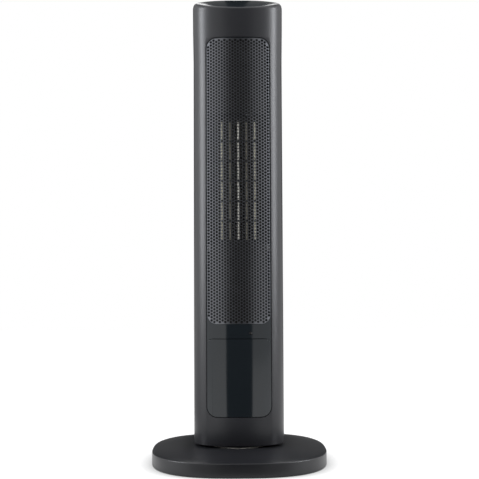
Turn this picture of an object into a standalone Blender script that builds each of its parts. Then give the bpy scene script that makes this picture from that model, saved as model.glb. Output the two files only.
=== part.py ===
"""Ceramic tower heater on a round-cornered base: the upright turns from side to side on a swivel
in the base, and a tall blower wheel drives air through a heating element behind a perforated sheet.
Metres, +Z up. The origin is on the floor under the swivel's axis, and the front faces -Y."""

import math

import bmesh
import bpy
from mathutils import Matrix, Vector

# Fits: the clearance that seated pieces keep, the one that turning pieces keep, and a cutter's overrun
GAP = 0.0003
RUNNING_GAP = 0.0004
OVERRUN = 0.02

# Colours of the materials
GRAPHITE = (0.045, 0.046, 0.050)
GLOSS_BLACK = (0.012, 0.013, 0.016)
BLACK = (0.010, 0.010, 0.011)
STEEL = (0.55, 0.55, 0.56)
ALUMINIUM = (0.72, 0.70, 0.62)
NYLON = (0.75, 0.74, 0.70)
BOARD_GREEN = (0.02, 0.10, 0.04)

# Facets: points round a plan, round a turned piece and along a rounded corner, strips in a bent piece
PLAN_POINTS = 36
TURNED_POINTS = 18
SMALL_TURNED_POINTS = 12
CORNER_POINTS = 4
BEND_STRIPS = 9
FLATNESS_DEGREES = 0.01
SMOOTH_DEGREES = 35

# Base cover: plan, edge, dome and the well that holds the swivel
BASE_HALF_WIDTH = 0.1375
BASE_HALF_DEPTH = 0.1424
BASE_PLAN_EXPONENT = 2.6
BASE_SKIRT_BOTTOM = 0.0012
BASE_RIM_HEIGHT = 0.0215
BASE_EDGE_ROUND = 0.0016
BASE_WALL = 0.0022
BASE_DOME_RISE = 0.0055
DOME_EXPONENT = 5.6
DOME_RING_SHARES = (0.96, 0.89, 0.76)
WELL_RIM_RADIUS = 0.0470
WELL_SHOULDER_DEPTH = 0.0027
WELL_FLOOR_RADIUS = 0.0410
WELL_FLOOR_DEPTH = 0.0130
CABLE_BORE_RADIUS = 0.0065

# Underside of the base: bottom plate, ballast, feet
BASE_PLATE_BOTTOM = 0.0030
BASE_PLATE_THICKNESS = 0.0022
BALLAST_MARGIN = 0.0524
BALLAST_THICKNESS = 0.0045
FOOT_RADIUS = 0.0090
FOOT_EDGE_ROUND = 0.0008
FOOT_SIDE_INSET = 0.0495
FOOT_END_INSET = 0.0504

# Tip-over switch, pressed by the floor
TIP_INSET = 0.0335
TIP_STEM_RADIUS = 0.0030
TIP_FLANGE_RADIUS = 0.0045
TIP_FLANGE_THICKNESS = 0.0012
TIP_TRAVEL = 0.0035
TIP_FLOOR_CLEARANCE = 0.0004
TIP_SWITCH_WIDTH = 0.0070
TIP_SWITCH_LENGTH = 0.0200
TIP_SWITCH_HEIGHT = 0.0050

# Cord inlet at the back of the base
INLET_HEIGHT = 0.01225
INLET_FLANGE_RADIUS = 0.0067
INLET_NECK_RADIUS = 0.0056
INLET_BORE_RADIUS = 0.0038
INLET_FLANGE_THICKNESS = 0.0018
INLET_TAIL_LENGTH = 0.0070
INLET_TAIL_RADIUS = 0.0052

# Swivel: post, fixed gear, glide ring, turntable, nut
POST_FLANGE_RADIUS = 0.0180
POST_FLANGE_THICKNESS = 0.0020
POST_RADIUS = 0.0095
POST_RISE_ABOVE_NUT = 0.0010
GEAR_MODULE = 0.0015
FIXED_GEAR_TEETH = 30
PINION_TEETH = 10
GEAR_THICKNESS = 0.0040
TOOTH_ROOT_SHARE = 0.60
TOOTH_TIP_SHARE = 0.24
TOOTH_HEIGHT_SHARE = 0.90
TOOTH_DEPTH_SHARE = 1.25
QUARTER_SHARE = 0.25
HALF_SHARE = 0.5
PINION_SHAFT_RADIUS = 0.0025
TURNTABLE_RADIUS = 0.0455
TURNTABLE_THICKNESS = 0.0014
TURNTABLE_HEIGHT = 0.0031
TURNTABLE_BOSS_RADIUS = 0.0380
GLIDE_RING_WIDTH = 0.0052
NUT_RADIUS = 0.0150
NUT_SIDES = 6
NUT_THICKNESS = 0.0040
OSCILLATION_MOTOR_RADIUS = 0.0140
OSCILLATION_MOTOR_HEIGHT = 0.0190

# Tower: plan, heights and wall
TOWER_HALF_WIDTH = 0.0716
TOWER_FRONT_DEPTH = 0.0490
TOWER_REAR_DEPTH = 0.0620
TOWER_PLAN_EXPONENT = 2.5
TOWER_BOTTOM_ROUND = 0.0010
TOWER_WALL = 0.0025
TOWER_SEAM_Y = 0.0060
TOP_FLARE = 0.0010
TOP_FLARE_DROP = 0.1080
TOWER_PLATE_THICKNESS = 0.0025

# Crowned top: the crest's height and place, how far it falls, and the rounded shoulder round the panel
CREST_HEIGHT = 0.7480
CREST_Y = 0.0200
FRONT_FALL = 0.0276
REAR_FALL = 0.0060
SIDE_FALL = 0.0045
SHOULDER_WIDTH = 0.0075
SHOULDER_DROP = 0.0100
SHOULDER_FRONT_WIDTH = 0.0018
SHOULDER_FRONT_DROP = 0.0020
SHOULDER_STEPS = 3
TOP_PANEL_THICKNESS = 0.0025
TOP_LEDGE_WIDTH = 0.0060
TOP_PANEL_RING_SHARES = (0.80, 0.45)
CONTROL_BOARD_HALF_WIDTH = 0.0400
CONTROL_BOARD_FRONT = 0.0240
CONTROL_BOARD_REAR = 0.0280

# Inset in the front: frame, grille and lower panel, all curved like the body
INSET_HALF_WIDTH = 0.0503
INSET_TOP_DROP = 0.0771
INSET_RISE = 0.0447
INSET_TOP_CORNER = 0.0150
INSET_BOTTOM_CORNER = 0.0157
GROOVE_WIDTH = 0.0009
INSET_THICKNESS = 0.0041
INSET_SETBACK = 0.0002
LEDGE_WIDTH = 0.0024
LEDGE_THICKNESS = 0.0030
LEDGE_MARGIN = 0.0030
LOWER_PANEL_HEIGHT = 0.1205
LOWER_PANEL_SHOULDER_WIDTH = 0.0120
LOWER_PANEL_SHOULDER_DROP = 0.0068
BRIDGE_HEIGHT = 0.0247
GRILLE_HALF_WIDTH = 0.0483
GRILLE_CORNER = 0.0135
GRILLE_TOP_MARGIN = 0.0020
GRILLE_THICKNESS = 0.0015
GRILLE_SETBACK = 0.0006

# Holes in the grille: a staggered pattern; the real sheet has the same pattern at a finer pitch
HOLE_PITCH = 0.0205
HOLE_RADIUS = 0.0066
HOLE_SIDES = 6
HOLE_MARGIN = 0.0012

# Receiver lens in the bridge below the grille
RECEIVER_X = 0.0183
RECEIVER_RISE = 0.0091
RECEIVER_RADIUS = 0.0022
RECEIVER_LENGTH = 0.0060

# Baffles behind the two blind stretches of the grille
BAFFLE_HALF_WIDTH = 0.0438
BAFFLE_THICKNESS = 0.0012
BAFFLE_LAP = 0.0030
UPPER_BLIND_HEIGHT = 0.1212
LOWER_BLIND_HEIGHT = 0.1240
CLIP_HEIGHT = 0.0094
CLIP_THICKNESS = 0.0012

# Heating element: frame with crossbars, ceramic tubes and folded fins
ELEMENT_LOWER_MARGIN = 0.0054
ELEMENT_UPPER_MARGIN = 0.0093
ELEMENT_RIM = 0.0088
ELEMENT_FRAME_HALF_WIDTH = 0.0490
ELEMENT_FRAME_DEPTH = 0.0180
CROSSBAR_DEPTH = 0.0016
CROSSBAR_HEIGHT = 0.0026
ELEMENT_SEGMENTS = 6
TUBE_COUNT = 5
TUBE_PITCH = 0.0132
TUBE_THICKNESS = 0.0026
TUBE_DEPTH = 0.0140
FIN_DEPTH = 0.0130
FIN_THICKNESS = 0.0006
FIN_FOLDS = 8
CUTOUT_RADIUS = 0.0080
CUTOUT_CAP_RADIUS = 0.0055
CUTOUT_BASE_HEIGHT = 0.0040
CUTOUT_CAP_HEIGHT = 0.0050
CUTOUT_X = 0.0200

# Air duct and tall blower wheel
WHEEL_Y = 0.0200
WHEEL_RADIUS = 0.0290
WHEEL_CLEARANCE = 0.0030
WHEEL_END_CLEARANCE = 0.0020
WHEEL_DISC_THICKNESS = 0.0020
WHEEL_SHAFT_RADIUS = 0.0030
BLADE_COUNT = 12
BLADE_INNER_RADIUS = 0.0215
BLADE_OUTER_RADIUS = 0.0282
BLADE_THICKNESS = 0.0009
BLADE_SWEEP_DEGREES = 14.0
DUCT_WALL = 0.0018
DUCT_HALF_WIDTH = 0.0475
DUCT_END_RADIUS = 0.0355
SCROLL_GROWTH = 0.0090
SCROLL_START_DEGREES = 118.0
SCROLL_END_DEGREES = 196.0
TONGUE_START_DEGREES = -24.0
TONGUE_END_DEGREES = 22.0
ARC_POINTS = 7
BEARING_FLANGE_RADIUS = 0.0100
BEARING_BODY_RADIUS = 0.0070
BEARING_FLANGE_THICKNESS = 0.0020
BEARING_BODY_HEIGHT = 0.0060
MOUNT_OUTER_RADIUS = 0.0220
MOUNT_INNER_RADIUS = 0.0110
MOUNT_THICKNESS = 0.0040
MOTOR_RADIUS = 0.0250
MOTOR_HEIGHT = 0.0400
MOTOR_BOSS_RADIUS = 0.0080
MOTOR_EDGE_ROUND = 0.0030

# Electronics
MAIN_BOARD_WIDTH = 0.0700
MAIN_BOARD_HEIGHT = 0.1150
MAIN_BOARD_THICKNESS = 0.0016
MAIN_BOARD_Y = -0.0190
BOARD_BLOCK_WIDTH = 0.0300
BOARD_BLOCK_HEIGHT = 0.0240
BOARD_BLOCK_DEPTH = 0.0180
BOARD_BLOCK_RISE = 0.0200
DISPLAY_BOARD_MARGIN = 0.0030
DISPLAY_BOARD_HEIGHT = 0.0700
DISPLAY_BOARD_THICKNESS = 0.0016
DISPLAY_BOARD_RISE = 0.0249

# Back of the tower: removable intake filter, grip cup, power switch
FILTER_HALF_WIDTH = 0.0400
FILTER_LOWER_REACH = 0.0228
FILTER_UPPER_REACH = 0.0373
FILTER_CORNER = 0.0060
FILTER_THICKNESS = 0.0041
FILTER_SLOTS = 7
FILTER_SLOT_WIDTH = 0.0056
FILTER_SLOT_MARGIN = 0.0070
FILTER_BAYS = 2
GRIP_HALF_WIDTH = 0.0380
GRIP_DROP = 0.0620
GRIP_HEIGHT = 0.0320
GRIP_CORNER = 0.0080
GRIP_DEPTH = 0.0230
GRIP_WALL = 0.0022
SWITCH_RISE = 0.0446
SWITCH_BODY_HALF_WIDTH = 0.0065
SWITCH_BODY_HALF_HEIGHT = 0.0100
SWITCH_BODY_DEPTH = 0.0160
SWITCH_FLANGE_MARGIN = 0.0016
SWITCH_FLANGE_THICKNESS = 0.0014
ROCKER_RADIUS = 0.0070
ROCKER_HALF_WIDTH = 0.0045
ROCKER_VALLEY = 0.0012
ROCKER_EDGE = 0.0021
ROCKER_THROW_DEGREES = 14.0

# Sizes that follow from the ones above
BASE_TOP = BASE_RIM_HEIGHT + BASE_DOME_RISE
WELL_SHOULDER = BASE_TOP - WELL_SHOULDER_DEPTH
WELL_FLOOR = BASE_TOP - WELL_FLOOR_DEPTH
BASE_PLATE_TOP = BASE_PLATE_BOTTOM + BASE_PLATE_THICKNESS
FOOT_X = BASE_HALF_WIDTH - FOOT_SIDE_INSET
FOOT_Y = BASE_HALF_DEPTH - FOOT_END_INSET
TIP_X = TIP_INSET - BASE_HALF_WIDTH
TURNTABLE_BOTTOM = BASE_TOP + GAP
TOWER_BOTTOM = TURNTABLE_BOTTOM + TURNTABLE_HEIGHT
TOWER_PLATE_BOTTOM = TOWER_BOTTOM + GAP
TOWER_PLATE_TOP = TOWER_PLATE_BOTTOM + TOWER_PLATE_THICKNESS
TOP_FLARE_START = CREST_HEIGHT - TOP_FLARE_DROP
GEAR_BOTTOM = WELL_FLOOR + GAP + POST_FLANGE_THICKNESS + GAP
GEAR_CENTRES = GEAR_MODULE * (FIXED_GEAR_TEETH + PINION_TEETH) / 2
NUT_BOTTOM = TOWER_PLATE_TOP + RUNNING_GAP
POST_TOP = NUT_BOTTOM + NUT_THICKNESS + POST_RISE_ABOVE_NUT
INSET_TOP = CREST_HEIGHT - INSET_TOP_DROP
INSET_BOTTOM = TOWER_BOTTOM + INSET_RISE
LOWER_PANEL_TOP = INSET_BOTTOM + LOWER_PANEL_HEIGHT
LOWER_PANEL_SHOULDER = LOWER_PANEL_TOP - LOWER_PANEL_SHOULDER_DROP
RECEIVER_HEIGHT = LOWER_PANEL_TOP + RECEIVER_RISE
GRILLE_BOTTOM = LOWER_PANEL_TOP + BRIDGE_HEIGHT
GRILLE_TOP = INSET_TOP - GRILLE_TOP_MARGIN
COLUMN_PITCH = HOLE_PITCH * math.sin(math.radians(60))
LOWER_BAFFLE_TOP = GRILLE_BOTTOM + LOWER_BLIND_HEIGHT
UPPER_BAFFLE_BOTTOM = INSET_TOP - UPPER_BLIND_HEIGHT
ELEMENT_BOTTOM = LOWER_BAFFLE_TOP + ELEMENT_LOWER_MARGIN
ELEMENT_TOP = UPPER_BAFFLE_BOTTOM - ELEMENT_UPPER_MARGIN
DISPLAY_BOARD_BOTTOM = INSET_BOTTOM + DISPLAY_BOARD_RISE
FILTER_BOTTOM = ELEMENT_BOTTOM - FILTER_LOWER_REACH
FILTER_TOP = ELEMENT_TOP + FILTER_UPPER_REACH
GRIP_TOP = CREST_HEIGHT - GRIP_DROP
GRIP_BOTTOM = GRIP_TOP - GRIP_HEIGHT
SWITCH_HEIGHT = TOWER_BOTTOM + SWITCH_RISE
LEDGE_FACE = INSET_SETBACK + INSET_THICKNESS + GAP
LEDGE_BACK = LEDGE_FACE + LEDGE_THICKNESS
DUCT_BOTTOM = ELEMENT_BOTTOM - DUCT_WALL - WHEEL_END_CLEARANCE
DUCT_TOP = ELEMENT_TOP + DUCT_WALL + WHEEL_END_CLEARANCE
TUBE_SPAN = TUBE_PITCH * (TUBE_COUNT + 1) - TUBE_THICKNESS


def finish_mesh(name, mesh):
    """Turns a bmesh into a smooth-shaded object in the scene."""
    bmesh.ops.connect_verts_nonplanar(mesh, angle_limit=math.radians(FLATNESS_DEGREES), faces=mesh.faces)
    bmesh.ops.recalc_face_normals(mesh, faces=mesh.faces)
    if mesh.calc_volume(signed=True) < 0:
        bmesh.ops.reverse_faces(mesh, faces=mesh.faces)
    data = bpy.data.meshes.new(name)
    mesh.to_mesh(data)
    mesh.free()
    data.shade_smooth()
    data.set_sharp_from_angle(angle=math.radians(SMOOTH_DEGREES))
    made = bpy.data.objects.new(name, data)
    bpy.context.scene.collection.objects.link(made)
    return made


def loft(name, rings, closes=False):
    """Skins rings of points. A ring of one point is a pole; open ends are capped."""
    mesh = bmesh.new()
    loops = [[mesh.verts.new(point) for point in ring] for ring in rings]
    pairs = list(zip(loops, loops[1:]))
    if closes:
        pairs.append((loops[-1], loops[0]))
    for first, second in pairs:
        count = max(len(first), len(second))
        for index in range(count):
            after = (index + 1) % count
            corners = [first[index % len(first)], first[after % len(first)]]
            corners += [second[after % len(second)], second[index % len(second)]]
            mesh.faces.new(list(dict.fromkeys(corners)))
    if not closes:
        for ring in (loops[0], loops[-1]):
            if len(ring) > 2:
                mesh.faces.new(ring)
    return finish_mesh(name, mesh)


def plan(half_width, front, rear, exponent, count=PLAN_POINTS):
    """Points of a superellipse plan, from +X round by the back."""
    points = []
    for index in range(count):
        angle = math.tau * index / count
        across = math.cos(angle)
        along = math.sin(angle)
        depth = rear if along > 0 else front
        x = half_width * math.copysign(abs(across) ** (2 / exponent), across)
        y = depth * math.copysign(abs(along) ** (2 / exponent), along)
        points.append((x, y))
    return points


def base_plan(inset=0.0, share=1.0):
    """The base's plan, drawn in by an inset and scaled by a share."""
    half_width = (BASE_HALF_WIDTH - inset) * share
    half_depth = (BASE_HALF_DEPTH - inset) * share
    return plan(half_width, half_depth, half_depth, BASE_PLAN_EXPONENT)


def tower_plan(inset=0.0, front_inset=None, flare=0.0):
    """The tower's plan, drawn in by an inset, by another one at the front, and flared."""
    front = inset if front_inset is None else front_inset
    half_width = TOWER_HALF_WIDTH + flare - inset
    return plan(half_width, TOWER_FRONT_DEPTH - front, TOWER_REAR_DEPTH - inset, TOWER_PLAN_EXPONENT)


def front_face(x):
    """Y of the tower's front surface at a distance x from the middle."""
    share = min(1.0, abs(x) / TOWER_HALF_WIDTH)
    return -TOWER_FRONT_DEPTH * (1 - share ** TOWER_PLAN_EXPONENT) ** (1 / TOWER_PLAN_EXPONENT)


def rear_face(x):
    """Y of the tower's rear surface at a distance x from the middle."""
    return -front_face(x) * TOWER_REAR_DEPTH / TOWER_FRONT_DEPTH


def crown(x, y):
    """Height of the top surface, which falls to the front, the back and the sides of its crest."""
    reach = TOWER_FRONT_DEPTH + CREST_Y if y < CREST_Y else TOWER_REAR_DEPTH - CREST_Y
    fall = FRONT_FALL if y < CREST_Y else REAR_FALL
    along = fall * ((y - CREST_Y) / reach) ** 2
    across = SIDE_FALL * (abs(x) / TOWER_HALF_WIDTH) ** 3
    return CREST_HEIGHT - along - across


def level(points, height):
    """Plan points at one height."""
    return [(x, y, height) for x, y in points]


def crowned(points, drop):
    """Plan points at a drop below the top surface."""
    return [(x, y, crown(x, y) - drop) for x, y in points]


def arc(centre_x, centre_y, radius, start, end, count=CORNER_POINTS):
    """Points along an arc between two angles in degrees."""
    points = []
    for index in range(count):
        angle = math.radians(start + (end - start) * index / (count - 1))
        points.append((centre_x + radius * math.cos(angle), centre_y + radius * math.sin(angle)))
    return points


def rounded_box(half_width, bottom, top, bottom_corner, top_corner):
    """A rounded rectangle about the middle, as (across, up) points."""
    side_low = half_width - bottom_corner
    side_high = half_width - top_corner
    points = arc(side_low, bottom + bottom_corner, bottom_corner, -90, 0)
    points += arc(side_high, top - top_corner, top_corner, 0, 90)
    points += arc(-side_high, top - top_corner, top_corner, 90, 180)
    points += arc(-side_low, bottom + bottom_corner, bottom_corner, 180, 270)
    return points


def rectangle(half_width, bottom, top):
    """Corners of a rectangle about the middle, as (across, up) points."""
    return [(-half_width, bottom), (half_width, bottom), (half_width, top), (-half_width, top)]


def upright(name, outline, front, back):
    """An outline in X and Z, extruded along Y."""
    return loft(name, [[(x, y, z) for x, z in outline] for y in (front, back)])


def slab(name, outline, bottom, top):
    """An outline in X and Y, extruded along Z."""
    return loft(name, [level(outline, bottom), level(outline, top)])


def block(name, low, high):
    """A box between two opposite corners."""
    outline = [(low[0], low[1]), (high[0], low[1]), (high[0], high[1]), (low[0], high[1])]
    return slab(name, outline, low[2], high[2])


def turned(name, profile, centre=(0.0, 0.0), count=TURNED_POINTS):
    """A closed (radius, height) profile turned about a vertical axis."""
    rings = []
    for radius, height in profile:
        if radius == 0:
            rings.append([(centre[0], centre[1], height)])
        else:
            rings.append(level(arc(centre[0], centre[1], radius, 0, 360, count + 1)[:-1], height))
    return loft(name, rings, closes=profile[0][0] > 0)


def keep_as_tool(tool):
    """Leaves an object out of the model and the render."""
    tool.hide_render = True
    tool.display_type = "WIRE"


def combine(target, tool, operation):
    """Joins a tool to an object, cuts it out of it or keeps what they share."""
    modifier = target.modifiers.new(tool.name, "BOOLEAN")
    modifier.operation = operation
    modifier.solver = "EXACT"
    modifier.object = tool
    keep_as_tool(tool)


def cut(target, tool):
    combine(target, tool, "DIFFERENCE")


def join(target, tool):
    combine(target, tool, "UNION")


def bake(made):
    """Replaces an object's mesh by the one that its modifiers give."""
    graph = bpy.context.evaluated_depsgraph_get()
    shaped = bpy.data.meshes.new_from_object(made.evaluated_get(graph))
    made.modifiers.clear()
    made.data = shaped
    return made


def even_stations(half_width):
    """Where a piece of that half width is split into strips of one width."""
    return [half_width * (2 * station / BEND_STRIPS - 1) for station in range(1, BEND_STRIPS)]


def bend(made, face, stations):
    """Splits a flat upright piece into strips at the stations and shifts it to follow a curved face."""
    mesh = bmesh.new()
    mesh.from_mesh(made.data)
    for x in stations:
        geometry = mesh.verts[:] + mesh.edges[:] + mesh.faces[:]
        bmesh.ops.bisect_plane(mesh, geom=geometry, plane_co=(x, 0, 0), plane_no=(1, 0, 0))
    for vertex in mesh.verts:
        vertex.co.y += face(vertex.co.x)
    bmesh.ops.connect_verts_nonplanar(mesh, angle_limit=math.radians(FLATNESS_DEGREES), faces=mesh.faces)
    mesh.to_mesh(made.data)
    mesh.free()
    return made


def paint(made, colour, roughness, metallic=0.0):
    """Gives an object its own material."""
    material = bpy.data.materials.new(made.name)
    material.use_nodes = True
    shader = material.node_tree.nodes["Principled BSDF"]
    shader.inputs["Base Color"].default_value = (*colour, 1.0)
    shader.inputs["Roughness"].default_value = roughness
    shader.inputs["Metallic"].default_value = metallic
    made.data.materials.clear()
    made.data.materials.append(material)
    return made


def hang_on(pieces, carrier):
    """Parents pieces to the empty of the body that carries them, without moving them."""
    for piece in pieces:
        piece.parent = carrier
        piece.matrix_parent_inverse = carrier.matrix_world.inverted()


def pivot(name, place):
    """An empty on a joint's axis."""
    made = bpy.data.objects.new(name, None)
    made.location = place
    bpy.context.scene.collection.objects.link(made)
    bpy.context.view_layer.update()
    return made


def base_surface(share):
    """Height of the domed base at a share of its plan."""
    return BASE_RIM_HEIGHT + BASE_DOME_RISE * (1 - share ** DOME_EXPONENT)


def make_base_cover():
    outer = [level(base_plan(), BASE_SKIRT_BOTTOM)]
    for step in range(3):
        angle = math.radians(45 * step)
        inset = BASE_EDGE_ROUND * (1 - math.cos(angle))
        height = BASE_RIM_HEIGHT - BASE_EDGE_ROUND * (1 - math.sin(angle))
        outer.append(level(base_plan(inset), height))
    for share in DOME_RING_SHARES:
        outer.append(level(base_plan(0.0, share), base_surface(share)))
    under = []
    for share in (DOME_RING_SHARES[-1], DOME_RING_SHARES[0]):
        under.append(level(base_plan(BASE_WALL, share), base_surface(share) - BASE_WALL))
    under.append(level(base_plan(BASE_WALL), BASE_RIM_HEIGHT - BASE_WALL))
    under.append(level(base_plan(BASE_WALL), BASE_SKIRT_BOTTOM))
    well = [
        (WELL_RIM_RADIUS, BASE_TOP),
        (WELL_RIM_RADIUS, WELL_SHOULDER),
        (WELL_FLOOR_RADIUS, WELL_SHOULDER),
        (WELL_FLOOR_RADIUS, WELL_FLOOR),
        (CABLE_BORE_RADIUS, WELL_FLOOR),
        (CABLE_BORE_RADIUS, WELL_FLOOR - BASE_WALL),
        (WELL_FLOOR_RADIUS + BASE_WALL, WELL_FLOOR - BASE_WALL),
        (WELL_RIM_RADIUS + BASE_WALL, WELL_SHOULDER - BASE_WALL),
        (WELL_RIM_RADIUS + BASE_WALL, BASE_TOP - BASE_WALL),
    ]
    rings = [level(arc(0, 0, radius, 0, 360, PLAN_POINTS + 1)[:-1], height) for radius, height in well]
    cover = loft("base_cover", outer + rings + under, closes=True)
    notch = turned("inlet_hole", [(0, -OVERRUN), (INLET_NECK_RADIUS + GAP, -OVERRUN),
                                  (INLET_NECK_RADIUS + GAP, OVERRUN), (0, OVERRUN)],
                   count=SMALL_TURNED_POINTS)
    notch.matrix_world = inlet_frame()
    cut(cover, notch)
    return paint(cover, GRAPHITE, 0.45)


def inlet_frame():
    """Stands a turned piece's axis along Y at the back of the base."""
    place = Matrix.Translation((0, BASE_HALF_DEPTH, INLET_HEIGHT))
    return place @ Matrix.Rotation(math.radians(-90), 4, "X")


def make_cord_inlet():
    wall_inside = -BASE_WALL - GAP
    profile = [
        (INLET_BORE_RADIUS, wall_inside - INLET_FLANGE_THICKNESS),
        (INLET_FLANGE_RADIUS, wall_inside - INLET_FLANGE_THICKNESS),
        (INLET_FLANGE_RADIUS, wall_inside),
        (INLET_NECK_RADIUS, wall_inside),
        (INLET_NECK_RADIUS, GAP),
        (INLET_FLANGE_RADIUS, GAP),
        (INLET_FLANGE_RADIUS, GAP + INLET_FLANGE_THICKNESS),
        (INLET_TAIL_RADIUS, GAP + INLET_FLANGE_THICKNESS),
        (INLET_TAIL_RADIUS, GAP + INLET_TAIL_LENGTH),
        (INLET_BORE_RADIUS, GAP + INLET_TAIL_LENGTH),
    ]
    inlet = turned("cord_inlet", profile, count=SMALL_TURNED_POINTS)
    inlet.data.transform(inlet_frame())
    return paint(inlet, BLACK, 0.6)


def make_base_plate():
    plate = slab("base_plate", base_plan(BASE_WALL + GAP), BASE_PLATE_BOTTOM, BASE_PLATE_TOP)
    radius = TIP_STEM_RADIUS + RUNNING_GAP
    hole = turned("tip_hole", [(0, -OVERRUN), (radius, -OVERRUN), (radius, OVERRUN), (0, OVERRUN)],
                  (TIP_X, 0), SMALL_TURNED_POINTS)
    cut(plate, hole)
    return paint(plate, BLACK, 0.5)


def make_ballast():
    bottom = BASE_PLATE_TOP + GAP
    plate = slab("ballast_plate", base_plan(BALLAST_MARGIN), bottom, bottom + BALLAST_THICKNESS)
    return paint(plate, STEEL, 0.5, 1.0)


def make_feet():
    top = BASE_PLATE_BOTTOM - GAP
    profile = [
        (0, 0),
        (FOOT_RADIUS - FOOT_EDGE_ROUND, 0),
        (FOOT_RADIUS, FOOT_EDGE_ROUND),
        (FOOT_RADIUS, top),
        (0, top),
    ]
    feet = []
    for row, y in (("front", -FOOT_Y), ("rear", FOOT_Y)):
        for side, x in (("left", -FOOT_X), ("right", FOOT_X)):
            foot = turned(f"foot_{row}_{side}", profile, (x, y), SMALL_TURNED_POINTS)
            feet.append(paint(foot, BLACK, 0.9))
    return feet


def make_tip_switch():
    flange_top = BASE_PLATE_TOP + TIP_TRAVEL + GAP + TIP_FLANGE_THICKNESS
    bottom = flange_top + GAP
    low = (TIP_X - TIP_SWITCH_WIDTH / 2, -TIP_SWITCH_LENGTH / 2, bottom)
    high = (TIP_X + TIP_SWITCH_WIDTH / 2, TIP_SWITCH_LENGTH / 2, bottom + TIP_SWITCH_HEIGHT)
    return paint(block("tip_switch", low, high), BLACK, 0.5)


def make_tip_plunger():
    flange_bottom = BASE_PLATE_TOP + TIP_TRAVEL + GAP
    profile = [
        (0, TIP_FLOOR_CLEARANCE),
        (TIP_STEM_RADIUS, TIP_FLOOR_CLEARANCE),
        (TIP_STEM_RADIUS, flange_bottom),
        (TIP_FLANGE_RADIUS, flange_bottom),
        (TIP_FLANGE_RADIUS, flange_bottom + TIP_FLANGE_THICKNESS),
        (0, flange_bottom + TIP_FLANGE_THICKNESS),
    ]
    plunger = turned("tip_plunger", profile, (TIP_X, 0), SMALL_TURNED_POINTS)
    return paint(plunger, NYLON, 0.5)


def make_pivot_post():
    bottom = WELL_FLOOR + GAP
    profile = [
        (CABLE_BORE_RADIUS, bottom),
        (POST_FLANGE_RADIUS, bottom),
        (POST_FLANGE_RADIUS, bottom + POST_FLANGE_THICKNESS),
        (POST_RADIUS, bottom + POST_FLANGE_THICKNESS),
        (POST_RADIUS, POST_TOP),
        (CABLE_BORE_RADIUS, POST_TOP),
    ]
    return paint(turned("pivot_post", profile), NYLON, 0.5)


def post_bore(name, clearance):
    """Cutter for the bore of a piece that sits on the pivot post."""
    radius = POST_RADIUS + clearance
    return turned(name, [(0, 0), (radius, 0), (radius, POST_TOP), (0, POST_TOP)])


def gear_outline(teeth, turned_teeth):
    """Outline of a spur gear whose first tooth points along X before it is turned by a number of teeth."""
    pitch_radius = GEAR_MODULE * teeth / 2
    root = pitch_radius - GEAR_MODULE * TOOTH_DEPTH_SHARE
    tip = pitch_radius + GEAR_MODULE * TOOTH_HEIGHT_SHARE
    step = math.tau / teeth
    points = []
    for tooth in range(teeth):
        middle = (tooth + turned_teeth) * step
        for share, radius in ((-TOOTH_ROOT_SHARE, root), (-TOOTH_TIP_SHARE, tip),
                              (TOOTH_TIP_SHARE, tip), (TOOTH_ROOT_SHARE, root)):
            angle = middle + share * step / 2
            points.append((radius * math.cos(angle), radius * math.sin(angle)))
    return points


def make_fixed_gear():
    outline = gear_outline(FIXED_GEAR_TEETH, QUARTER_SHARE * FIXED_GEAR_TEETH)
    gear = slab("fixed_gear", outline, GEAR_BOTTOM, GEAR_BOTTOM + GEAR_THICKNESS)
    cut(gear, post_bore("gear_bore", GAP))
    return paint(gear, NYLON, 0.5)


def make_drive_pinion():
    facing = HALF_SHARE - QUARTER_SHARE * PINION_TEETH
    outline = [(x, y + GEAR_CENTRES) for x, y in gear_outline(PINION_TEETH, facing)]
    pinion = slab("drive_pinion", outline, GEAR_BOTTOM, GEAR_BOTTOM + GEAR_THICKNESS)
    middle = GEAR_BOTTOM + GEAR_THICKNESS / 2
    shaft = turned("pinion_shaft", [(0, middle), (PINION_SHAFT_RADIUS, middle),
                                    (PINION_SHAFT_RADIUS, TOWER_PLATE_TOP), (0, TOWER_PLATE_TOP)],
                   (0, GEAR_CENTRES), SMALL_TURNED_POINTS)
    join(pinion, shaft)
    return paint(pinion, NYLON, 0.5)


def make_glide_ring():
    outer = WELL_RIM_RADIUS - GAP
    profile = [
        (outer - GLIDE_RING_WIDTH, WELL_SHOULDER + GAP),
        (outer, WELL_SHOULDER + GAP),
        (outer, BASE_TOP),
        (outer - GLIDE_RING_WIDTH, BASE_TOP),
    ]
    return paint(turned("glide_ring", profile), NYLON, 0.4)


def make_pivot_nut():
    outline = arc(0, 0, NUT_RADIUS, 0, 360, NUT_SIDES + 1)[:-1]
    nut = slab("pivot_nut", outline, NUT_BOTTOM, NUT_BOTTOM + NUT_THICKNESS)
    cut(nut, post_bore("nut_bore", GAP))
    return paint(nut, STEEL, 0.35, 1.0)


def shaft_hole(name):
    """Cutter for the pinion's shaft through the swivelling plates."""
    radius = PINION_SHAFT_RADIUS + RUNNING_GAP
    return turned(name, [(0, WELL_FLOOR), (radius, WELL_FLOOR), (radius, POST_TOP), (0, POST_TOP)],
                  (0, GEAR_CENTRES), SMALL_TURNED_POINTS)


def make_turntable():
    bore = POST_RADIUS + RUNNING_GAP
    profile = [
        (bore, TURNTABLE_BOTTOM),
        (TURNTABLE_RADIUS, TURNTABLE_BOTTOM),
        (TURNTABLE_RADIUS, TURNTABLE_BOTTOM + TURNTABLE_THICKNESS),
        (TURNTABLE_BOSS_RADIUS, TURNTABLE_BOTTOM + TURNTABLE_THICKNESS),
        (TURNTABLE_BOSS_RADIUS, TOWER_BOTTOM),
        (bore, TOWER_BOTTOM),
    ]
    table = turned("turntable", profile)
    cut(table, shaft_hole("turntable_shaft_hole"))
    return paint(table, BLACK, 0.4)


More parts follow.
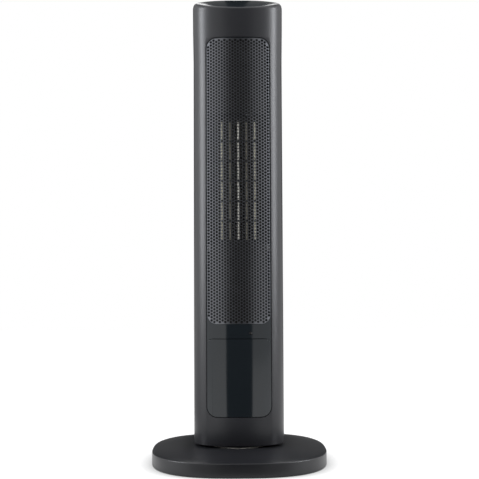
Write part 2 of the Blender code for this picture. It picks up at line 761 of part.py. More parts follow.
def make_tower_plate():
    outline = tower_plan(TOWER_WALL + GAP)
    plate = slab("tower_plate", outline, TOWER_PLATE_BOTTOM, TOWER_PLATE_TOP)
    cut(plate, post_bore("plate_bore", RUNNING_GAP))
    cut(plate, shaft_hole("plate_shaft_hole"))
    return paint(plate, BLACK, 0.5)


def make_oscillation_motor():
    bottom = TOWER_PLATE_TOP + GAP
    profile = [
        (0, bottom),
        (OSCILLATION_MOTOR_RADIUS, bottom),
        (OSCILLATION_MOTOR_RADIUS, bottom + OSCILLATION_MOTOR_HEIGHT),
        (0, bottom + OSCILLATION_MOTOR_HEIGHT),
    ]
    return paint(turned("oscillation_motor", profile, (0, GEAR_CENTRES)), STEEL, 0.4, 1.0)


def tower_shell():
    """The whole upright as one open tube with a rounded shoulder and a ledge for the top panel."""
    rings = [
        level(tower_plan(TOWER_BOTTOM_ROUND), TOWER_BOTTOM),
        level(tower_plan(), TOWER_BOTTOM + TOWER_BOTTOM_ROUND),
        level(tower_plan(), TOP_FLARE_START),
    ]
    for step in range(SHOULDER_STEPS + 1):
        angle = math.radians(90 * step / SHOULDER_STEPS)
        share = 1 - math.cos(angle)
        outline = tower_plan(SHOULDER_WIDTH * share, SHOULDER_FRONT_WIDTH * share, TOP_FLARE)
        ring = []
        for x, y in outline:
            side = (abs(x) / TOWER_HALF_WIDTH) ** 2
            drop = SHOULDER_FRONT_DROP + (SHOULDER_DROP - SHOULDER_FRONT_DROP) * side
            if y > 0:
                drop = SHOULDER_DROP
            ring.append((x, y, crown(x, y) - drop * (1 - math.sin(angle))))
        rings.append(ring)
    seat = TOP_PANEL_THICKNESS + GAP
    seam = tower_plan(SHOULDER_WIDTH, SHOULDER_FRONT_WIDTH, TOP_FLARE)
    ledge = tower_plan(SHOULDER_WIDTH + TOP_LEDGE_WIDTH, SHOULDER_FRONT_WIDTH + TOP_LEDGE_WIDTH, TOP_FLARE)
    inside = tower_plan(TOWER_WALL, None, TOP_FLARE)
    rings.append(crowned(seam, seat))
    rings.append(crowned(ledge, seat))
    rings.append(crowned(ledge, seat + TOWER_WALL))
    rings.append(crowned(inside, SHOULDER_DROP))
    rings.append(level(tower_plan(TOWER_WALL), TOP_FLARE_START))
    rings.append(level(tower_plan(TOWER_WALL), TOWER_BOTTOM))
    return rings


def half_space(name, seam, side):
    """Box that takes away what lies on one side of the seam between the two housings."""
    reach = TOWER_HALF_WIDTH + OVERRUN
    depth = TOWER_REAR_DEPTH + OVERRUN
    near = seam + side * GAP / 2
    low = (-reach, min(near, side * -depth), -OVERRUN)
    high = (reach, max(near, side * -depth), CREST_HEIGHT + OVERRUN)
    return block(name, low, high)


def inset_outline(grow):
    """Outline of the whole front inset, grown all round."""
    return rounded_box(INSET_HALF_WIDTH + grow, INSET_BOTTOM - grow, INSET_TOP + grow,
                       INSET_BOTTOM_CORNER + grow, INSET_TOP_CORNER + grow)


def filter_outline(grow):
    """Outline of the intake filter, grown all round."""
    corner = FILTER_CORNER + grow
    return rounded_box(FILTER_HALF_WIDTH + grow, FILTER_BOTTOM - grow, FILTER_TOP + grow, corner, corner)


def make_front_housing():
    housing = loft("front_housing", tower_shell(), closes=True)
    cut(housing, half_space("front_trim", TOWER_SEAM_Y, -1))
    stations = even_stations(INSET_HALF_WIDTH + LEDGE_MARGIN)
    ledge = upright("inset_ledge", inset_outline(LEDGE_MARGIN), TOWER_WALL / 2, LEDGE_BACK)
    join(housing, bend(ledge, front_face, stations))
    pocket = upright("inset_pocket", inset_outline(GROOVE_WIDTH), -OVERRUN, LEDGE_FACE)
    cut(housing, bend(pocket, front_face, stations))
    window = upright("inset_window", inset_outline(-LEDGE_WIDTH), -OVERRUN, LEDGE_BACK + TOWER_WALL)
    cut(housing, bend(window, front_face, stations))
    return paint(housing, GRAPHITE, 0.45)


def make_rear_housing():
    housing = loft("rear_housing", tower_shell(), closes=True)
    cut(housing, half_space("rear_trim", TOWER_SEAM_Y, 1))
    stations = even_stations(FILTER_HALF_WIDTH + LEDGE_MARGIN)
    ledge = upright("filter_ledge", filter_outline(LEDGE_MARGIN), -LEDGE_BACK, -TOWER_WALL / 2)
    join(housing, bend(ledge, rear_face, stations))
    pocket = upright("filter_pocket", filter_outline(GAP), -LEDGE_FACE, OVERRUN)
    cut(housing, bend(pocket, rear_face, stations))
    window = upright("filter_window", filter_outline(-LEDGE_WIDTH), -LEDGE_BACK - TOWER_WALL, OVERRUN)
    cut(housing, bend(window, rear_face, stations))
    grip = upright("grip_hole", grip_outline(GAP), 0, TOWER_REAR_DEPTH + OVERRUN)
    cut(housing, grip)
    low = (-SWITCH_BODY_HALF_WIDTH - GAP, 0, SWITCH_HEIGHT - SWITCH_BODY_HALF_HEIGHT - GAP)
    high = (SWITCH_BODY_HALF_WIDTH + GAP, TOWER_REAR_DEPTH + OVERRUN,
            SWITCH_HEIGHT + SWITCH_BODY_HALF_HEIGHT + GAP)
    cut(housing, block("switch_hole", low, high))
    return paint(housing, GRAPHITE, 0.45)


def make_top_panel():
    edge = SHOULDER_WIDTH + GAP
    front_edge = SHOULDER_FRONT_WIDTH + GAP
    outline = tower_plan(edge, front_edge, TOP_FLARE)
    middle = (TOWER_REAR_DEPTH - TOWER_FRONT_DEPTH) / 2
    top = [crowned(outline, 0.0)]
    for share in TOP_PANEL_RING_SHARES:
        ring = [(x * share, middle + (y - middle) * share) for x, y in outline]
        top.append(crowned(ring, 0.0))
    top.append(crowned([(0, middle)], 0.0))
    under = [[(x, y, z - TOP_PANEL_THICKNESS) for x, y, z in ring] for ring in reversed(top)]
    return paint(loft("top_panel", under + top), GLOSS_BLACK, 0.08)


def make_control_board():
    rings = []
    lowest = TOP_PANEL_THICKNESS + GAP
    for drop in (lowest, lowest + DISPLAY_BOARD_THICKNESS):
        corners = []
        for x, y in ((-CONTROL_BOARD_HALF_WIDTH, -CONTROL_BOARD_FRONT),
                     (CONTROL_BOARD_HALF_WIDTH, -CONTROL_BOARD_FRONT),
                     (CONTROL_BOARD_HALF_WIDTH, CONTROL_BOARD_REAR),
                     (-CONTROL_BOARD_HALF_WIDTH, CONTROL_BOARD_REAR)):
            ground = min(crown(x, -CONTROL_BOARD_FRONT), crown(x, CONTROL_BOARD_REAR))
            corners.append((x, y, ground - drop))
        rings.append(corners)
    return paint(loft("control_board", rings), BOARD_GREEN, 0.5)


def grille_outline(grow):
    """Outline of the perforated sheet, grown all round."""
    return rounded_box(GRILLE_HALF_WIDTH + grow, GRILLE_BOTTOM - grow, GRILLE_TOP + grow,
                       GRILLE_CORNER + grow, GRILLE_CORNER + grow)


def lower_panel_top(raised):
    """Top edge of the lower panel, flat in the middle and curving down to both sides, right to left."""
    flat = INSET_HALF_WIDTH - LOWER_PANEL_SHOULDER_WIDTH
    rise = []
    for across, up in arc(0, 0, 1, 0, 90):
        x = flat + LOWER_PANEL_SHOULDER_WIDTH * across
        rise.append((x, LOWER_PANEL_SHOULDER + raised + LOWER_PANEL_SHOULDER_DROP * up))
    return rise + [(-x, z) for x, z in reversed(rise)]


def lower_panel_outline():
    """The lower panel's top edge with rounded corners below it."""
    side = INSET_HALF_WIDTH - INSET_BOTTOM_CORNER
    bottom = INSET_BOTTOM + INSET_BOTTOM_CORNER
    points = arc(side, bottom, INSET_BOTTOM_CORNER, -90, 0)
    points += lower_panel_top(0.0)
    points += arc(-side, bottom, INSET_BOTTOM_CORNER, 180, 270)
    return points


def receiver_outline(grow):
    """Outline of the receiver's round lens in the bridge, grown all round."""
    return arc(RECEIVER_X, RECEIVER_HEIGHT, RECEIVER_RADIUS + grow, 0, 360, SMALL_TURNED_POINTS + 1)[:-1]


def make_grille_frame():
    back = INSET_SETBACK + INSET_THICKNESS
    frame = upright("grille_frame", inset_outline(0.0), INSET_SETBACK, back)
    cut(frame, upright("grille_window", grille_outline(GAP), -OVERRUN, back + OVERRUN))
    lowest = INSET_BOTTOM - OVERRUN
    wide = INSET_HALF_WIDTH + OVERRUN
    edge = LOWER_PANEL_SHOULDER + GAP
    outline = [(wide, lowest), (wide, edge)] + lower_panel_top(GAP) + [(-wide, edge), (-wide, lowest)]
    cut(frame, upright("lower_panel_room", outline, -OVERRUN, back + OVERRUN))
    cut(frame, upright("receiver_hole", receiver_outline(GAP), -OVERRUN, back + OVERRUN))
    bake(frame)
    return paint(bend(frame, front_face, even_stations(INSET_HALF_WIDTH)), GLOSS_BLACK, 0.12)


def make_receiver_lens():
    front = front_face(RECEIVER_X) + INSET_SETBACK
    lens = upright("receiver_lens", receiver_outline(0.0), front, front + RECEIVER_LENGTH)
    return paint(lens, BLACK, 0.1)


def make_lower_panel():
    panel = upright("lower_panel", lower_panel_outline(), INSET_SETBACK, INSET_SETBACK + INSET_THICKNESS)
    return paint(bend(panel, front_face, even_stations(INSET_HALF_WIDTH)), GLOSS_BLACK, 0.06)


def hole_columns():
    """How many columns of holes fit on each side of the middle one."""
    return int((GRILLE_HALF_WIDTH - HOLE_RADIUS - HOLE_MARGIN) / COLUMN_PITCH)


def hole_centres():
    """Staggered columns of holes that keep a margin to the sheet's rounded outline."""
    middle = (GRILLE_TOP + GRILLE_BOTTOM) / 2
    rows = int((GRILLE_TOP - GRILLE_BOTTOM) / HOLE_PITCH)
    places = []
    for column in range(-hole_columns(), hole_columns() + 1):
        shift = HOLE_PITCH / 2 if column % 2 else 0.0
        for row in range(-rows, rows + 1):
            x = column * COLUMN_PITCH
            z = middle + row * HOLE_PITCH + shift
            if grille_holds(x, z, HOLE_RADIUS + HOLE_MARGIN):
                places.append((x, z))
    return places


def grille_holds(x, z, room):
    """True where a hole with room round it lies inside the sheet's rounded outline."""
    across = abs(x) - (GRILLE_HALF_WIDTH - GRILLE_CORNER)
    up = max(z - (GRILLE_TOP - GRILLE_CORNER), GRILLE_BOTTOM + GRILLE_CORNER - z)
    if across > 0 and up > 0:
        return math.hypot(across, up) + room <= GRILLE_CORNER
    return max(across, up) + room <= GRILLE_CORNER


def make_grille():
    """Thin sheet in flat strips, one to each column of holes, that follow the body's front."""
    sheet = upright("grille", grille_outline(0.0), GRILLE_SETBACK, GRILLE_SETBACK + GRILLE_THICKNESS)
    columns = range(-hole_columns() - 1, hole_columns() + 1)
    bend(sheet, front_face, [(column + HALF_SHARE) * COLUMN_PITCH for column in columns])
    punches = bmesh.new()
    for x, z in hole_centres():
        place = Matrix.Translation((x, front_face(x), z)) @ Matrix.Rotation(math.radians(90), 4, "X")
        bmesh.ops.create_cone(punches, cap_ends=True, segments=HOLE_SIDES, radius1=HOLE_RADIUS,
                              radius2=HOLE_RADIUS, depth=OVERRUN, matrix=place)
    cut(sheet, finish_mesh("grille_punches", punches))
    return paint(sheet, GRAPHITE, 0.4, 0.6)


def make_baffles():
    """Curved sheets behind the grille's blind stretches, at its top and above the bridge."""
    corner = INSET_TOP_CORNER - LEDGE_WIDTH
    top = INSET_TOP - LEDGE_WIDTH - GAP
    upper = rounded_box(BAFFLE_HALF_WIDTH, UPPER_BAFFLE_BOTTOM, top, BAFFLE_LAP, corner)
    lower = rectangle(BAFFLE_HALF_WIDTH, GRILLE_BOTTOM - BAFFLE_LAP, LOWER_BAFFLE_TOP)
    baffles = []
    for name, outline in (("upper_baffle", upper), ("lower_baffle", lower)):
        sheet = upright(name, outline, LEDGE_FACE, LEDGE_FACE + BAFFLE_THICKNESS)
        bend(sheet, front_face, even_stations(BAFFLE_HALF_WIDTH))
        baffles.append(paint(sheet, BLACK, 0.7))
    return baffles


def element_front():
    """Y of the element frame's front, which seats behind the inset's ledge."""
    return front_face(ELEMENT_FRAME_HALF_WIDTH) + LEDGE_BACK + GAP


def element_back():
    return element_front() + ELEMENT_FRAME_DEPTH


def make_element_frame():
    front = element_front()
    outline = rectangle(ELEMENT_FRAME_HALF_WIDTH, ELEMENT_BOTTOM - ELEMENT_RIM, ELEMENT_TOP + ELEMENT_RIM)
    frame = upright("element_frame", outline, front, element_back())
    half = TUBE_SPAN / 2 + GAP
    pocket = rectangle(half, ELEMENT_BOTTOM, ELEMENT_TOP)
    cut(frame, upright("element_pocket", pocket, front + CROSSBAR_DEPTH, element_back() + OVERRUN))
    segment = (ELEMENT_TOP - ELEMENT_BOTTOM) / ELEMENT_SEGMENTS
    for index in range(ELEMENT_SEGMENTS):
        low = ELEMENT_BOTTOM + segment * index + CROSSBAR_HEIGHT / 2
        window = rectangle(half - GAP, low, low + segment - CROSSBAR_HEIGHT)
        opening = upright(f"element_window_{index}", window, front - OVERRUN, front + CROSSBAR_DEPTH + GAP)
        cut(frame, opening)
    return paint(frame, BLACK, 0.6)


def make_element():
    """Ceramic tubes side by side, with a folded fin strip in each bay."""
    low = ELEMENT_BOTTOM + GAP
    high = ELEMENT_TOP - GAP
    front = element_front() + CROSSBAR_DEPTH + GAP
    pieces = []
    for index in range(TUBE_COUNT):
        x = (index - (TUBE_COUNT - 1) / 2) * TUBE_PITCH
        tube = block(f"heater_tube_{index + 1}", (x - TUBE_THICKNESS / 2, front, low),
                     (x + TUBE_THICKNESS / 2, front + TUBE_DEPTH, high))
        pieces.append(paint(tube, ALUMINIUM, 0.35, 1.0))
    half = (TUBE_PITCH - TUBE_THICKNESS) / 2 - GAP
    rise = (high - low) / (2 * FIN_FOLDS)
    thickness_across = FIN_THICKNESS * math.hypot(rise, 2 * half) / rise
    for bay in range(TUBE_COUNT + 1):
        middle = (bay - TUBE_COUNT / 2) * TUBE_PITCH
        rings = []
        for fold in range(2 * FIN_FOLDS + 1):
            left = middle + half - thickness_across if fold % 2 else middle - half
            right = left + thickness_across
            section = ((left, front), (right, front), (right, front + FIN_DEPTH), (left, front + FIN_DEPTH))
            rings.append(level(section, low + rise * fold))
        pieces.append(paint(loft(f"fin_strip_{bay + 1}", rings), ALUMINIUM, 0.35, 1.0))
    return pieces


def make_clips():
    """Small steel clips that hold the lower baffle to the ledge at its upper corners."""
    inner = BAFFLE_HALF_WIDTH + GAP
    outer = INSET_HALF_WIDTH - LEDGE_WIDTH - GAP
    clips = []
    for side, name in ((-1, "clip_left"), (1, "clip_right")):
        edges = sorted((side * inner, side * outer))
        face = front_face(outer)
        low = (edges[0], face + LEDGE_FACE, LOWER_BAFFLE_TOP - CLIP_HEIGHT)
        high = (edges[1], face + LEDGE_FACE + CLIP_THICKNESS, LOWER_BAFFLE_TOP)
        clips.append(paint(block(name, low, high), STEEL, 0.3, 1.0))
    return clips


def make_thermal_cutout():
    bottom = ELEMENT_TOP + ELEMENT_RIM + GAP
    centre = (CUTOUT_X, element_front() + ELEMENT_FRAME_DEPTH / 2)
    shoulder = bottom + CUTOUT_BASE_HEIGHT
    profile = [
        (0, bottom),
        (CUTOUT_RADIUS, bottom),
        (CUTOUT_RADIUS, shoulder),
        (CUTOUT_CAP_RADIUS, shoulder),
        (CUTOUT_CAP_RADIUS, shoulder + CUTOUT_CAP_HEIGHT),
        (0, shoulder + CUTOUT_CAP_HEIGHT),
    ]
    return paint(turned("thermal_cutout", profile, centre, SMALL_TURNED_POINTS), STEEL, 0.4, 1.0)


def wall_outline(line):
    """A thin wall along a plan line, thickened away from the wheel and square to the element at its end."""
    outer = []
    for x, y in line[:-1]:
        away = Vector((x, y - WHEEL_Y)).normalized() * DUCT_WALL
        outer.append((x + away.x, y + away.y))
    end_x, end_y = line[-1]
    outer.append((end_x + math.copysign(DUCT_WALL, end_x), end_y))
    return line + outer[::-1]


def make_air_duct():
    """End plates, a scroll that opens towards the element, and the tongue opposite it."""
    start = element_back() + GAP
    inner = DUCT_HALF_WIDTH - DUCT_WALL
    scroll = []
    for index in range(ARC_POINTS):
        share = index / (ARC_POINTS - 1)
        angle = math.radians(SCROLL_START_DEGREES + (SCROLL_END_DEGREES - SCROLL_START_DEGREES) * share)
        radius = WHEEL_RADIUS + WHEEL_CLEARANCE + SCROLL_GROWTH * share
        scroll.append((radius * math.cos(angle), WHEEL_Y + radius * math.sin(angle)))
    scroll.append((-inner, start))
    tongue = arc(0, WHEEL_Y, WHEEL_RADIUS + WHEEL_CLEARANCE, TONGUE_END_DEGREES, TONGUE_START_DEGREES)
    tongue.append((inner, start))
    plate = [(-DUCT_HALF_WIDTH, start), (DUCT_HALF_WIDTH, start)]
    plate += arc(0, WHEEL_Y, DUCT_END_RADIUS, 0, 180, 2 * ARC_POINTS)
    lower = slab("air_duct", plate, DUCT_BOTTOM, DUCT_BOTTOM + DUCT_WALL)
    upper = slab("duct_upper_plate", plate, DUCT_TOP - DUCT_WALL, DUCT_TOP)
    overlap = DUCT_WALL / 2
    for name, line in (("duct_scroll", scroll), ("duct_tongue", tongue)):
        wall = slab(name, wall_outline(line), DUCT_BOTTOM + overlap, DUCT_TOP - overlap)
        join(lower, wall)
    join(lower, upper)
    for name, radius, height in (("duct_shaft_hole", MOTOR_BOSS_RADIUS + GAP, DUCT_BOTTOM),
                                 ("duct_bearing_hole", BEARING_BODY_RADIUS + GAP, DUCT_TOP)):
        hole = turned(name, [(0, height - DUCT_WALL - GAP), (radius, height - DUCT_WALL - GAP),
                             (radius, height + DUCT_WALL + GAP), (0, height + DUCT_WALL + GAP)],
                      (0, WHEEL_Y), SMALL_TURNED_POINTS)
        cut(lower, hole)
    return paint(lower, BLACK, 0.6)


def make_blower_wheel():
    """Three discs on a shaft carry a ring of curved blades."""
    low = DUCT_BOTTOM + DUCT_WALL + WHEEL_END_CLEARANCE
    high = DUCT_TOP - DUCT_WALL - WHEEL_END_CLEARANCE
    middle = (low + high - WHEEL_DISC_THICKNESS) / 2
    end = DUCT_TOP + BEARING_FLANGE_THICKNESS
    profile = [(0, motor_top() + GAP), (WHEEL_SHAFT_RADIUS, motor_top() + GAP)]
    for bottom in (low, middle, high - WHEEL_DISC_THICKNESS):
        profile += [(WHEEL_SHAFT_RADIUS, bottom), (WHEEL_RADIUS, bottom)]
        profile += [(WHEEL_RADIUS, bottom + WHEEL_DISC_THICKNESS)]
        profile += [(WHEEL_SHAFT_RADIUS, bottom + WHEEL_DISC_THICKNESS)]
    profile += [(WHEEL_SHAFT_RADIUS, end), (0, end)]
    wheel = turned("blower_wheel", profile, (0, WHEEL_Y))
    blades = bmesh.new()
    embed = WHEEL_DISC_THICKNESS / 2
    for index in range(BLADE_COUNT):
        turn = 360 * index / BLADE_COUNT
        outline = blade_outline(turn)
        rings = [[blades.verts.new(point) for point in level(outline, height)]
                 for height in (low + embed, high - embed)]
        count = len(outline)
        for corner in range(count):
            after = (corner + 1) % count
            blades.faces.new((rings[0][corner], rings[0][after], rings[1][after], rings[1][corner]))
        blades.faces.new(rings[0][::-1])
        blades.faces.new(rings[1])
    join(wheel, finish_mesh("wheel_blades", blades))
    return paint(wheel, GRAPHITE, 0.5)


def blade_outline(turn):
    """Plan of one blade: a slightly hooked strip between two radii."""
    near = []
    far = []
    for share in (0, HALF_SHARE, 1):
        radius = BLADE_INNER_RADIUS + (BLADE_OUTER_RADIUS - BLADE_INNER_RADIUS) * share
        angle = math.radians(turn + BLADE_SWEEP_DEGREES * share ** 2)
        side = Vector((-math.sin(angle), math.cos(angle))) * (BLADE_THICKNESS / 2)
        point = Vector((radius * math.cos(angle), WHEEL_Y + radius * math.sin(angle)))
        near.append(tuple(point - side))
        far.append(tuple(point + side))
    return near + far[::-1]


def motor_top():
    """Height of the motor's face, below the rubber mount under the duct."""
    return DUCT_BOTTOM - GAP - MOUNT_THICKNESS - GAP


def make_motor_mount():
    bottom = motor_top() + GAP
    profile = [
        (MOUNT_INNER_RADIUS, bottom),
        (MOUNT_OUTER_RADIUS, bottom),
        (MOUNT_OUTER_RADIUS, bottom + MOUNT_THICKNESS),
        (MOUNT_INNER_RADIUS, bottom + MOUNT_THICKNESS),
    ]
    return paint(turned("motor_mount", profile, (0, WHEEL_Y)), BLACK, 0.9)


def make_blower_motor():
    top = motor_top()
    bottom = top - MOTOR_HEIGHT
    profile = [
        (0, bottom - MOTOR_EDGE_ROUND),
        (MOTOR_BOSS_RADIUS, bottom - MOTOR_EDGE_ROUND),
        (MOTOR_BOSS_RADIUS, bottom),
        (MOTOR_RADIUS - MOTOR_EDGE_ROUND, bottom),
        (MOTOR_RADIUS, bottom + MOTOR_EDGE_ROUND),
        (MOTOR_RADIUS, top - MOTOR_EDGE_ROUND),
        (MOTOR_RADIUS - MOTOR_EDGE_ROUND, top),
        (0, top),
    ]
    return paint(turned("blower_motor", profile, (0, WHEEL_Y)), STEEL, 0.4, 1.0)


def make_upper_bearing():
    seat = DUCT_TOP + GAP
    bore = WHEEL_SHAFT_RADIUS + GAP
    profile = [
        (bore, seat - DUCT_WALL),
        (BEARING_BODY_RADIUS, seat - DUCT_WALL),
        (BEARING_BODY_RADIUS, seat),
        (BEARING_FLANGE_RADIUS, seat),
        (BEARING_FLANGE_RADIUS, seat + BEARING_FLANGE_THICKNESS),
        (BEARING_BODY_RADIUS, seat + BEARING_FLANGE_THICKNESS),
        (BEARING_BODY_RADIUS, seat + BEARING_BODY_HEIGHT),
        (bore, seat + BEARING_BODY_HEIGHT),
    ]
    return paint(turned("upper_bearing", profile, (0, WHEEL_Y), SMALL_TURNED_POINTS), BLACK, 0.8)


def make_main_board():
    bottom = TOWER_PLATE_TOP + GAP
    half = MAIN_BOARD_WIDTH / 2
    board = block("main_board", (-half, MAIN_BOARD_Y, bottom),
                  (half, MAIN_BOARD_Y + MAIN_BOARD_THICKNESS, bottom + MAIN_BOARD_HEIGHT))
    side = BOARD_BLOCK_WIDTH / 2
    low = bottom + BOARD_BLOCK_RISE
    parts = block("board_blocks", (-side, MAIN_BOARD_Y + MAIN_BOARD_THICKNESS / 2, low),
                  (side, MAIN_BOARD_Y + BOARD_BLOCK_DEPTH, low + BOARD_BLOCK_HEIGHT))
    join(board, parts)
    return paint(board, BOARD_GREEN, 0.5)


def make_display_board():
    half = INSET_HALF_WIDTH - LEDGE_WIDTH + DISPLAY_BOARD_MARGIN
    front = front_face(half) + LEDGE_BACK + GAP
    board = block("display_board", (-half, front, DISPLAY_BOARD_BOTTOM),
                  (half, front + DISPLAY_BOARD_THICKNESS, DISPLAY_BOARD_BOTTOM + DISPLAY_BOARD_HEIGHT))
    return paint(board, BOARD_GREEN, 0.5)


def make_filter():
    """Curved intake cover with upright slots, which pulls straight off the back."""
    flat = upright("intake_filter", filter_outline(0.0), -FILTER_THICKNESS, 0.0)
    cover = bend(flat, rear_face, even_stations(FILTER_HALF_WIDTH))
    usable = FILTER_HALF_WIDTH - FILTER_SLOT_MARGIN
    pitch = 2 * usable / FILTER_SLOTS
    height = (FILTER_TOP - FILTER_BOTTOM - FILTER_SLOT_MARGIN) / FILTER_BAYS
    slots = bmesh.new()
    for row in range(FILTER_BAYS):
        low = FILTER_BOTTOM + FILTER_SLOT_MARGIN + height * row
        top = low + height - FILTER_SLOT_MARGIN
        for index in range(FILTER_SLOTS):
            x = (index - (FILTER_SLOTS - 1) / 2) * pitch
            size = Matrix.Diagonal((FILTER_SLOT_WIDTH, TOWER_REAR_DEPTH + OVERRUN, top - low, 1))
            place = Matrix.Translation((x, TOWER_REAR_DEPTH, (low + top) / 2))
            bmesh.ops.create_cube(slots, size=1, matrix=place @ size)
    cut(cover, finish_mesh("filter_slots", slots))
    return paint(cover, GRAPHITE, 0.5)


def grip_outline(grow):
    corner = GRIP_CORNER + grow
    return rounded_box(GRIP_HALF_WIDTH + grow, GRIP_BOTTOM - grow, GRIP_TOP + grow, corner, corner)


def make_grip_cup():
    """Open cup set into the back as a finger grip."""
    floor = TOWER_REAR_DEPTH - GRIP_DEPTH
    outer = grip_outline(0.0)
    inner = grip_outline(-GRIP_WALL)
    rings = [
        [(x, floor, z) for x, z in outer],
        [(x, rear_face(x), z) for x, z in outer],
        [(x, rear_face(x), z) for x, z in inner],
        [(x, floor + GRIP_WALL, z) for x, z in inner],
    ]
    return paint(loft("grip_cup", rings), BLACK, 0.5)


def rocker_pivot():
    return (0.0, TOWER_REAR_DEPTH + SWITCH_FLANGE_THICKNESS - ROCKER_VALLEY, SWITCH_HEIGHT)


def make_switch_body():
    back = TOWER_REAR_DEPTH
    wide = SWITCH_BODY_HALF_WIDTH
    tall = SWITCH_BODY_HALF_HEIGHT
    body = block("switch_body", (-wide, back - SWITCH_BODY_DEPTH, SWITCH_HEIGHT - tall),
                 (wide, back + SWITCH_FLANGE_THICKNESS, SWITCH_HEIGHT + tall))
    margin = SWITCH_FLANGE_MARGIN
    flange = block("switch_flange", (-wide - margin, back + GAP, SWITCH_HEIGHT - tall - margin),
                   (wide + margin, back + SWITCH_FLANGE_THICKNESS, SWITCH_HEIGHT + tall + margin))
    join(body, flange)
    room = ROCKER_RADIUS + 2 * GAP
    across = ROCKER_HALF_WIDTH + GAP
    pocket = block("rocker_room", (-across, rocker_pivot()[1] - room, SWITCH_HEIGHT - room),
                   (across, back + OVERRUN, SWITCH_HEIGHT + room))
    cut(body, pocket)
    return paint(body, BLACK, 0.4)


def make_rocker():
    """Rocker in its off position: a half round below a shallow V, turned about its pivot."""
    outline = arc(0, 0, ROCKER_RADIUS, 180, 360, 2 * CORNER_POINTS)
    outline += [(ROCKER_RADIUS, ROCKER_EDGE), (0, ROCKER_VALLEY), (-ROCKER_RADIUS, ROCKER_EDGE)]
    rocker = loft("power_rocker", [[(x, depth, up) for up, depth in outline]
                                   for x in (-ROCKER_HALF_WIDTH, ROCKER_HALF_WIDTH)])
    tilt = Matrix.Rotation(math.radians(ROCKER_THROW_DEGREES / 2), 4, "X")
    rocker.data.transform(Matrix.Translation(rocker_pivot()) @ tilt)
    return paint(rocker, BLACK, 0.3)


def clear_scene():
    for old in list(bpy.data.objects):
        bpy.data.objects.remove(old)


def build():
    clear_scene()
    make_base_cover()
    make_cord_inlet()
    make_base_plate()
    make_ballast()
    make_feet()
    make_tip_switch()
    make_pivot_post()
    make_fixed_gear()
    make_glide_ring()
    make_pivot_nut()
    plunger_slide = pivot("tip_plunger_slide", (TIP_X, 0, TIP_FLOOR_CLEARANCE))
    hang_on([make_tip_plunger()], plunger_slide)

    tower = pivot("oscillation_axis", (0, 0, TURNTABLE_BOTTOM))
    pieces = [
        make_turntable(),
        make_tower_plate(),
        make_oscillation_motor(),
        make_front_housing(),
        make_rear_housing(),
        make_top_panel(),
        make_control_board(),
        make_grille_frame(),
        make_receiver_lens(),
        make_lower_panel(),
        make_grille(),
        make_element_frame(),
        make_thermal_cutout(),
        make_air_duct(),
        make_motor_mount(),
        make_blower_motor(),
        make_upper_bearing(),
        make_main_board(),
        make_display_board(),
        make_grip_cup(),
        make_switch_body(),
    ]
    pieces += make_baffles() + make_element() + make_clips()
    hang_on(pieces, tower)

    moving = (
        ("pinion_axis", (0, GEAR_CENTRES, GEAR_BOTTOM), make_drive_pinion()),
        ("wheel_axis", (0, WHEEL_Y, motor_top()), make_blower_wheel()),
        ("rocker_axis", rocker_pivot(), make_rocker()),
        ("filter_slide", (0, TOWER_REAR_DEPTH, FILTER_BOTTOM), make_filter()),
    )
    for name, place, piece in moving:
        axis = pivot(name, place)
        hang_on([axis], tower)
        hang_on([piece], axis)


build()
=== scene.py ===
import math

import bmesh
import bpy
from mathutils import Matrix, Vector


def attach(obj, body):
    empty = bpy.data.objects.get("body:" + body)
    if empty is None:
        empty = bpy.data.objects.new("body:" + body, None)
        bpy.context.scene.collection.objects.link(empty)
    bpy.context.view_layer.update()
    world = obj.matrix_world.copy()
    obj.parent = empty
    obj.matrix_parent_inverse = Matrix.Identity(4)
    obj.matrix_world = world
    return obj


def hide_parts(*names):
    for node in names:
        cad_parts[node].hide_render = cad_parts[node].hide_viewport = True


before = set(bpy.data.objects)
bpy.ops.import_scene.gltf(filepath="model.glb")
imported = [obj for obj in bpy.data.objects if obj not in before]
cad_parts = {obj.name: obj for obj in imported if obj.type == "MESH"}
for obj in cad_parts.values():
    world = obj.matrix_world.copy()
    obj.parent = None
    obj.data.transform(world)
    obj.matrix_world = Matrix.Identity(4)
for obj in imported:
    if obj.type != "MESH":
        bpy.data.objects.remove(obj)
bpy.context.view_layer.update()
print("solids loaded")

tiny = 0.00001  # lengths that differ by less count as equal
facing = 0.9  # a face whose normal has at least this part along an axis faces that way
smoothAngle = 30  # edges sharper than this, in degrees, stay sharp in the shading
sharpAngle = 50  # softens only the edges of pieces that have facets round them
cornerSteps = 10
past = 0.02  # how far cutters reach past the column's skin
drill = 0.03  # length of the rods that drill holes, and how far back a cut through the inset ends
through = (-past, drill)
deepBack = 0.09  # where cutters that start at the column's middle end behind it
standing = (math.pi / 2, 0, 0)  # turns a flat primitive upright


# small helpers for editing

def alone(piece):
    bpy.ops.object.select_all(action="DESELECT")
    piece.select_set(True)
    bpy.context.view_layer.objects.active = piece


def startEdit(piece, kind="VERT"):
    alone(piece)
    bpy.ops.object.mode_set(mode="EDIT")
    bpy.ops.mesh.select_mode(type=kind)
    bpy.ops.mesh.select_all(action="DESELECT")


def endEdit():
    bpy.ops.object.mode_set(mode="OBJECT")


def pickAll():
    bpy.ops.mesh.select_all(action="SELECT")


def pick(piece, kind, wanted):  # selects the vertices, edges or faces that pass, in edit mode
    bpy.ops.mesh.select_all(action="DESELECT")
    mesh = bmesh.from_edit_mesh(piece.data)
    for item in getattr(mesh, kind):
        if wanted(item):
            item.select_set(True)
    mesh.select_flush_mode()
    bmesh.update_edit_mesh(piece.data)


def widthOf(edge):
    return abs(edge.verts[0].co.x - edge.verts[1].co.x)


def extrudeBy(x=0, y=0, z=0):
    bpy.ops.mesh.extrude_region_move(TRANSFORM_OT_translate={"value": (x, y, z)})


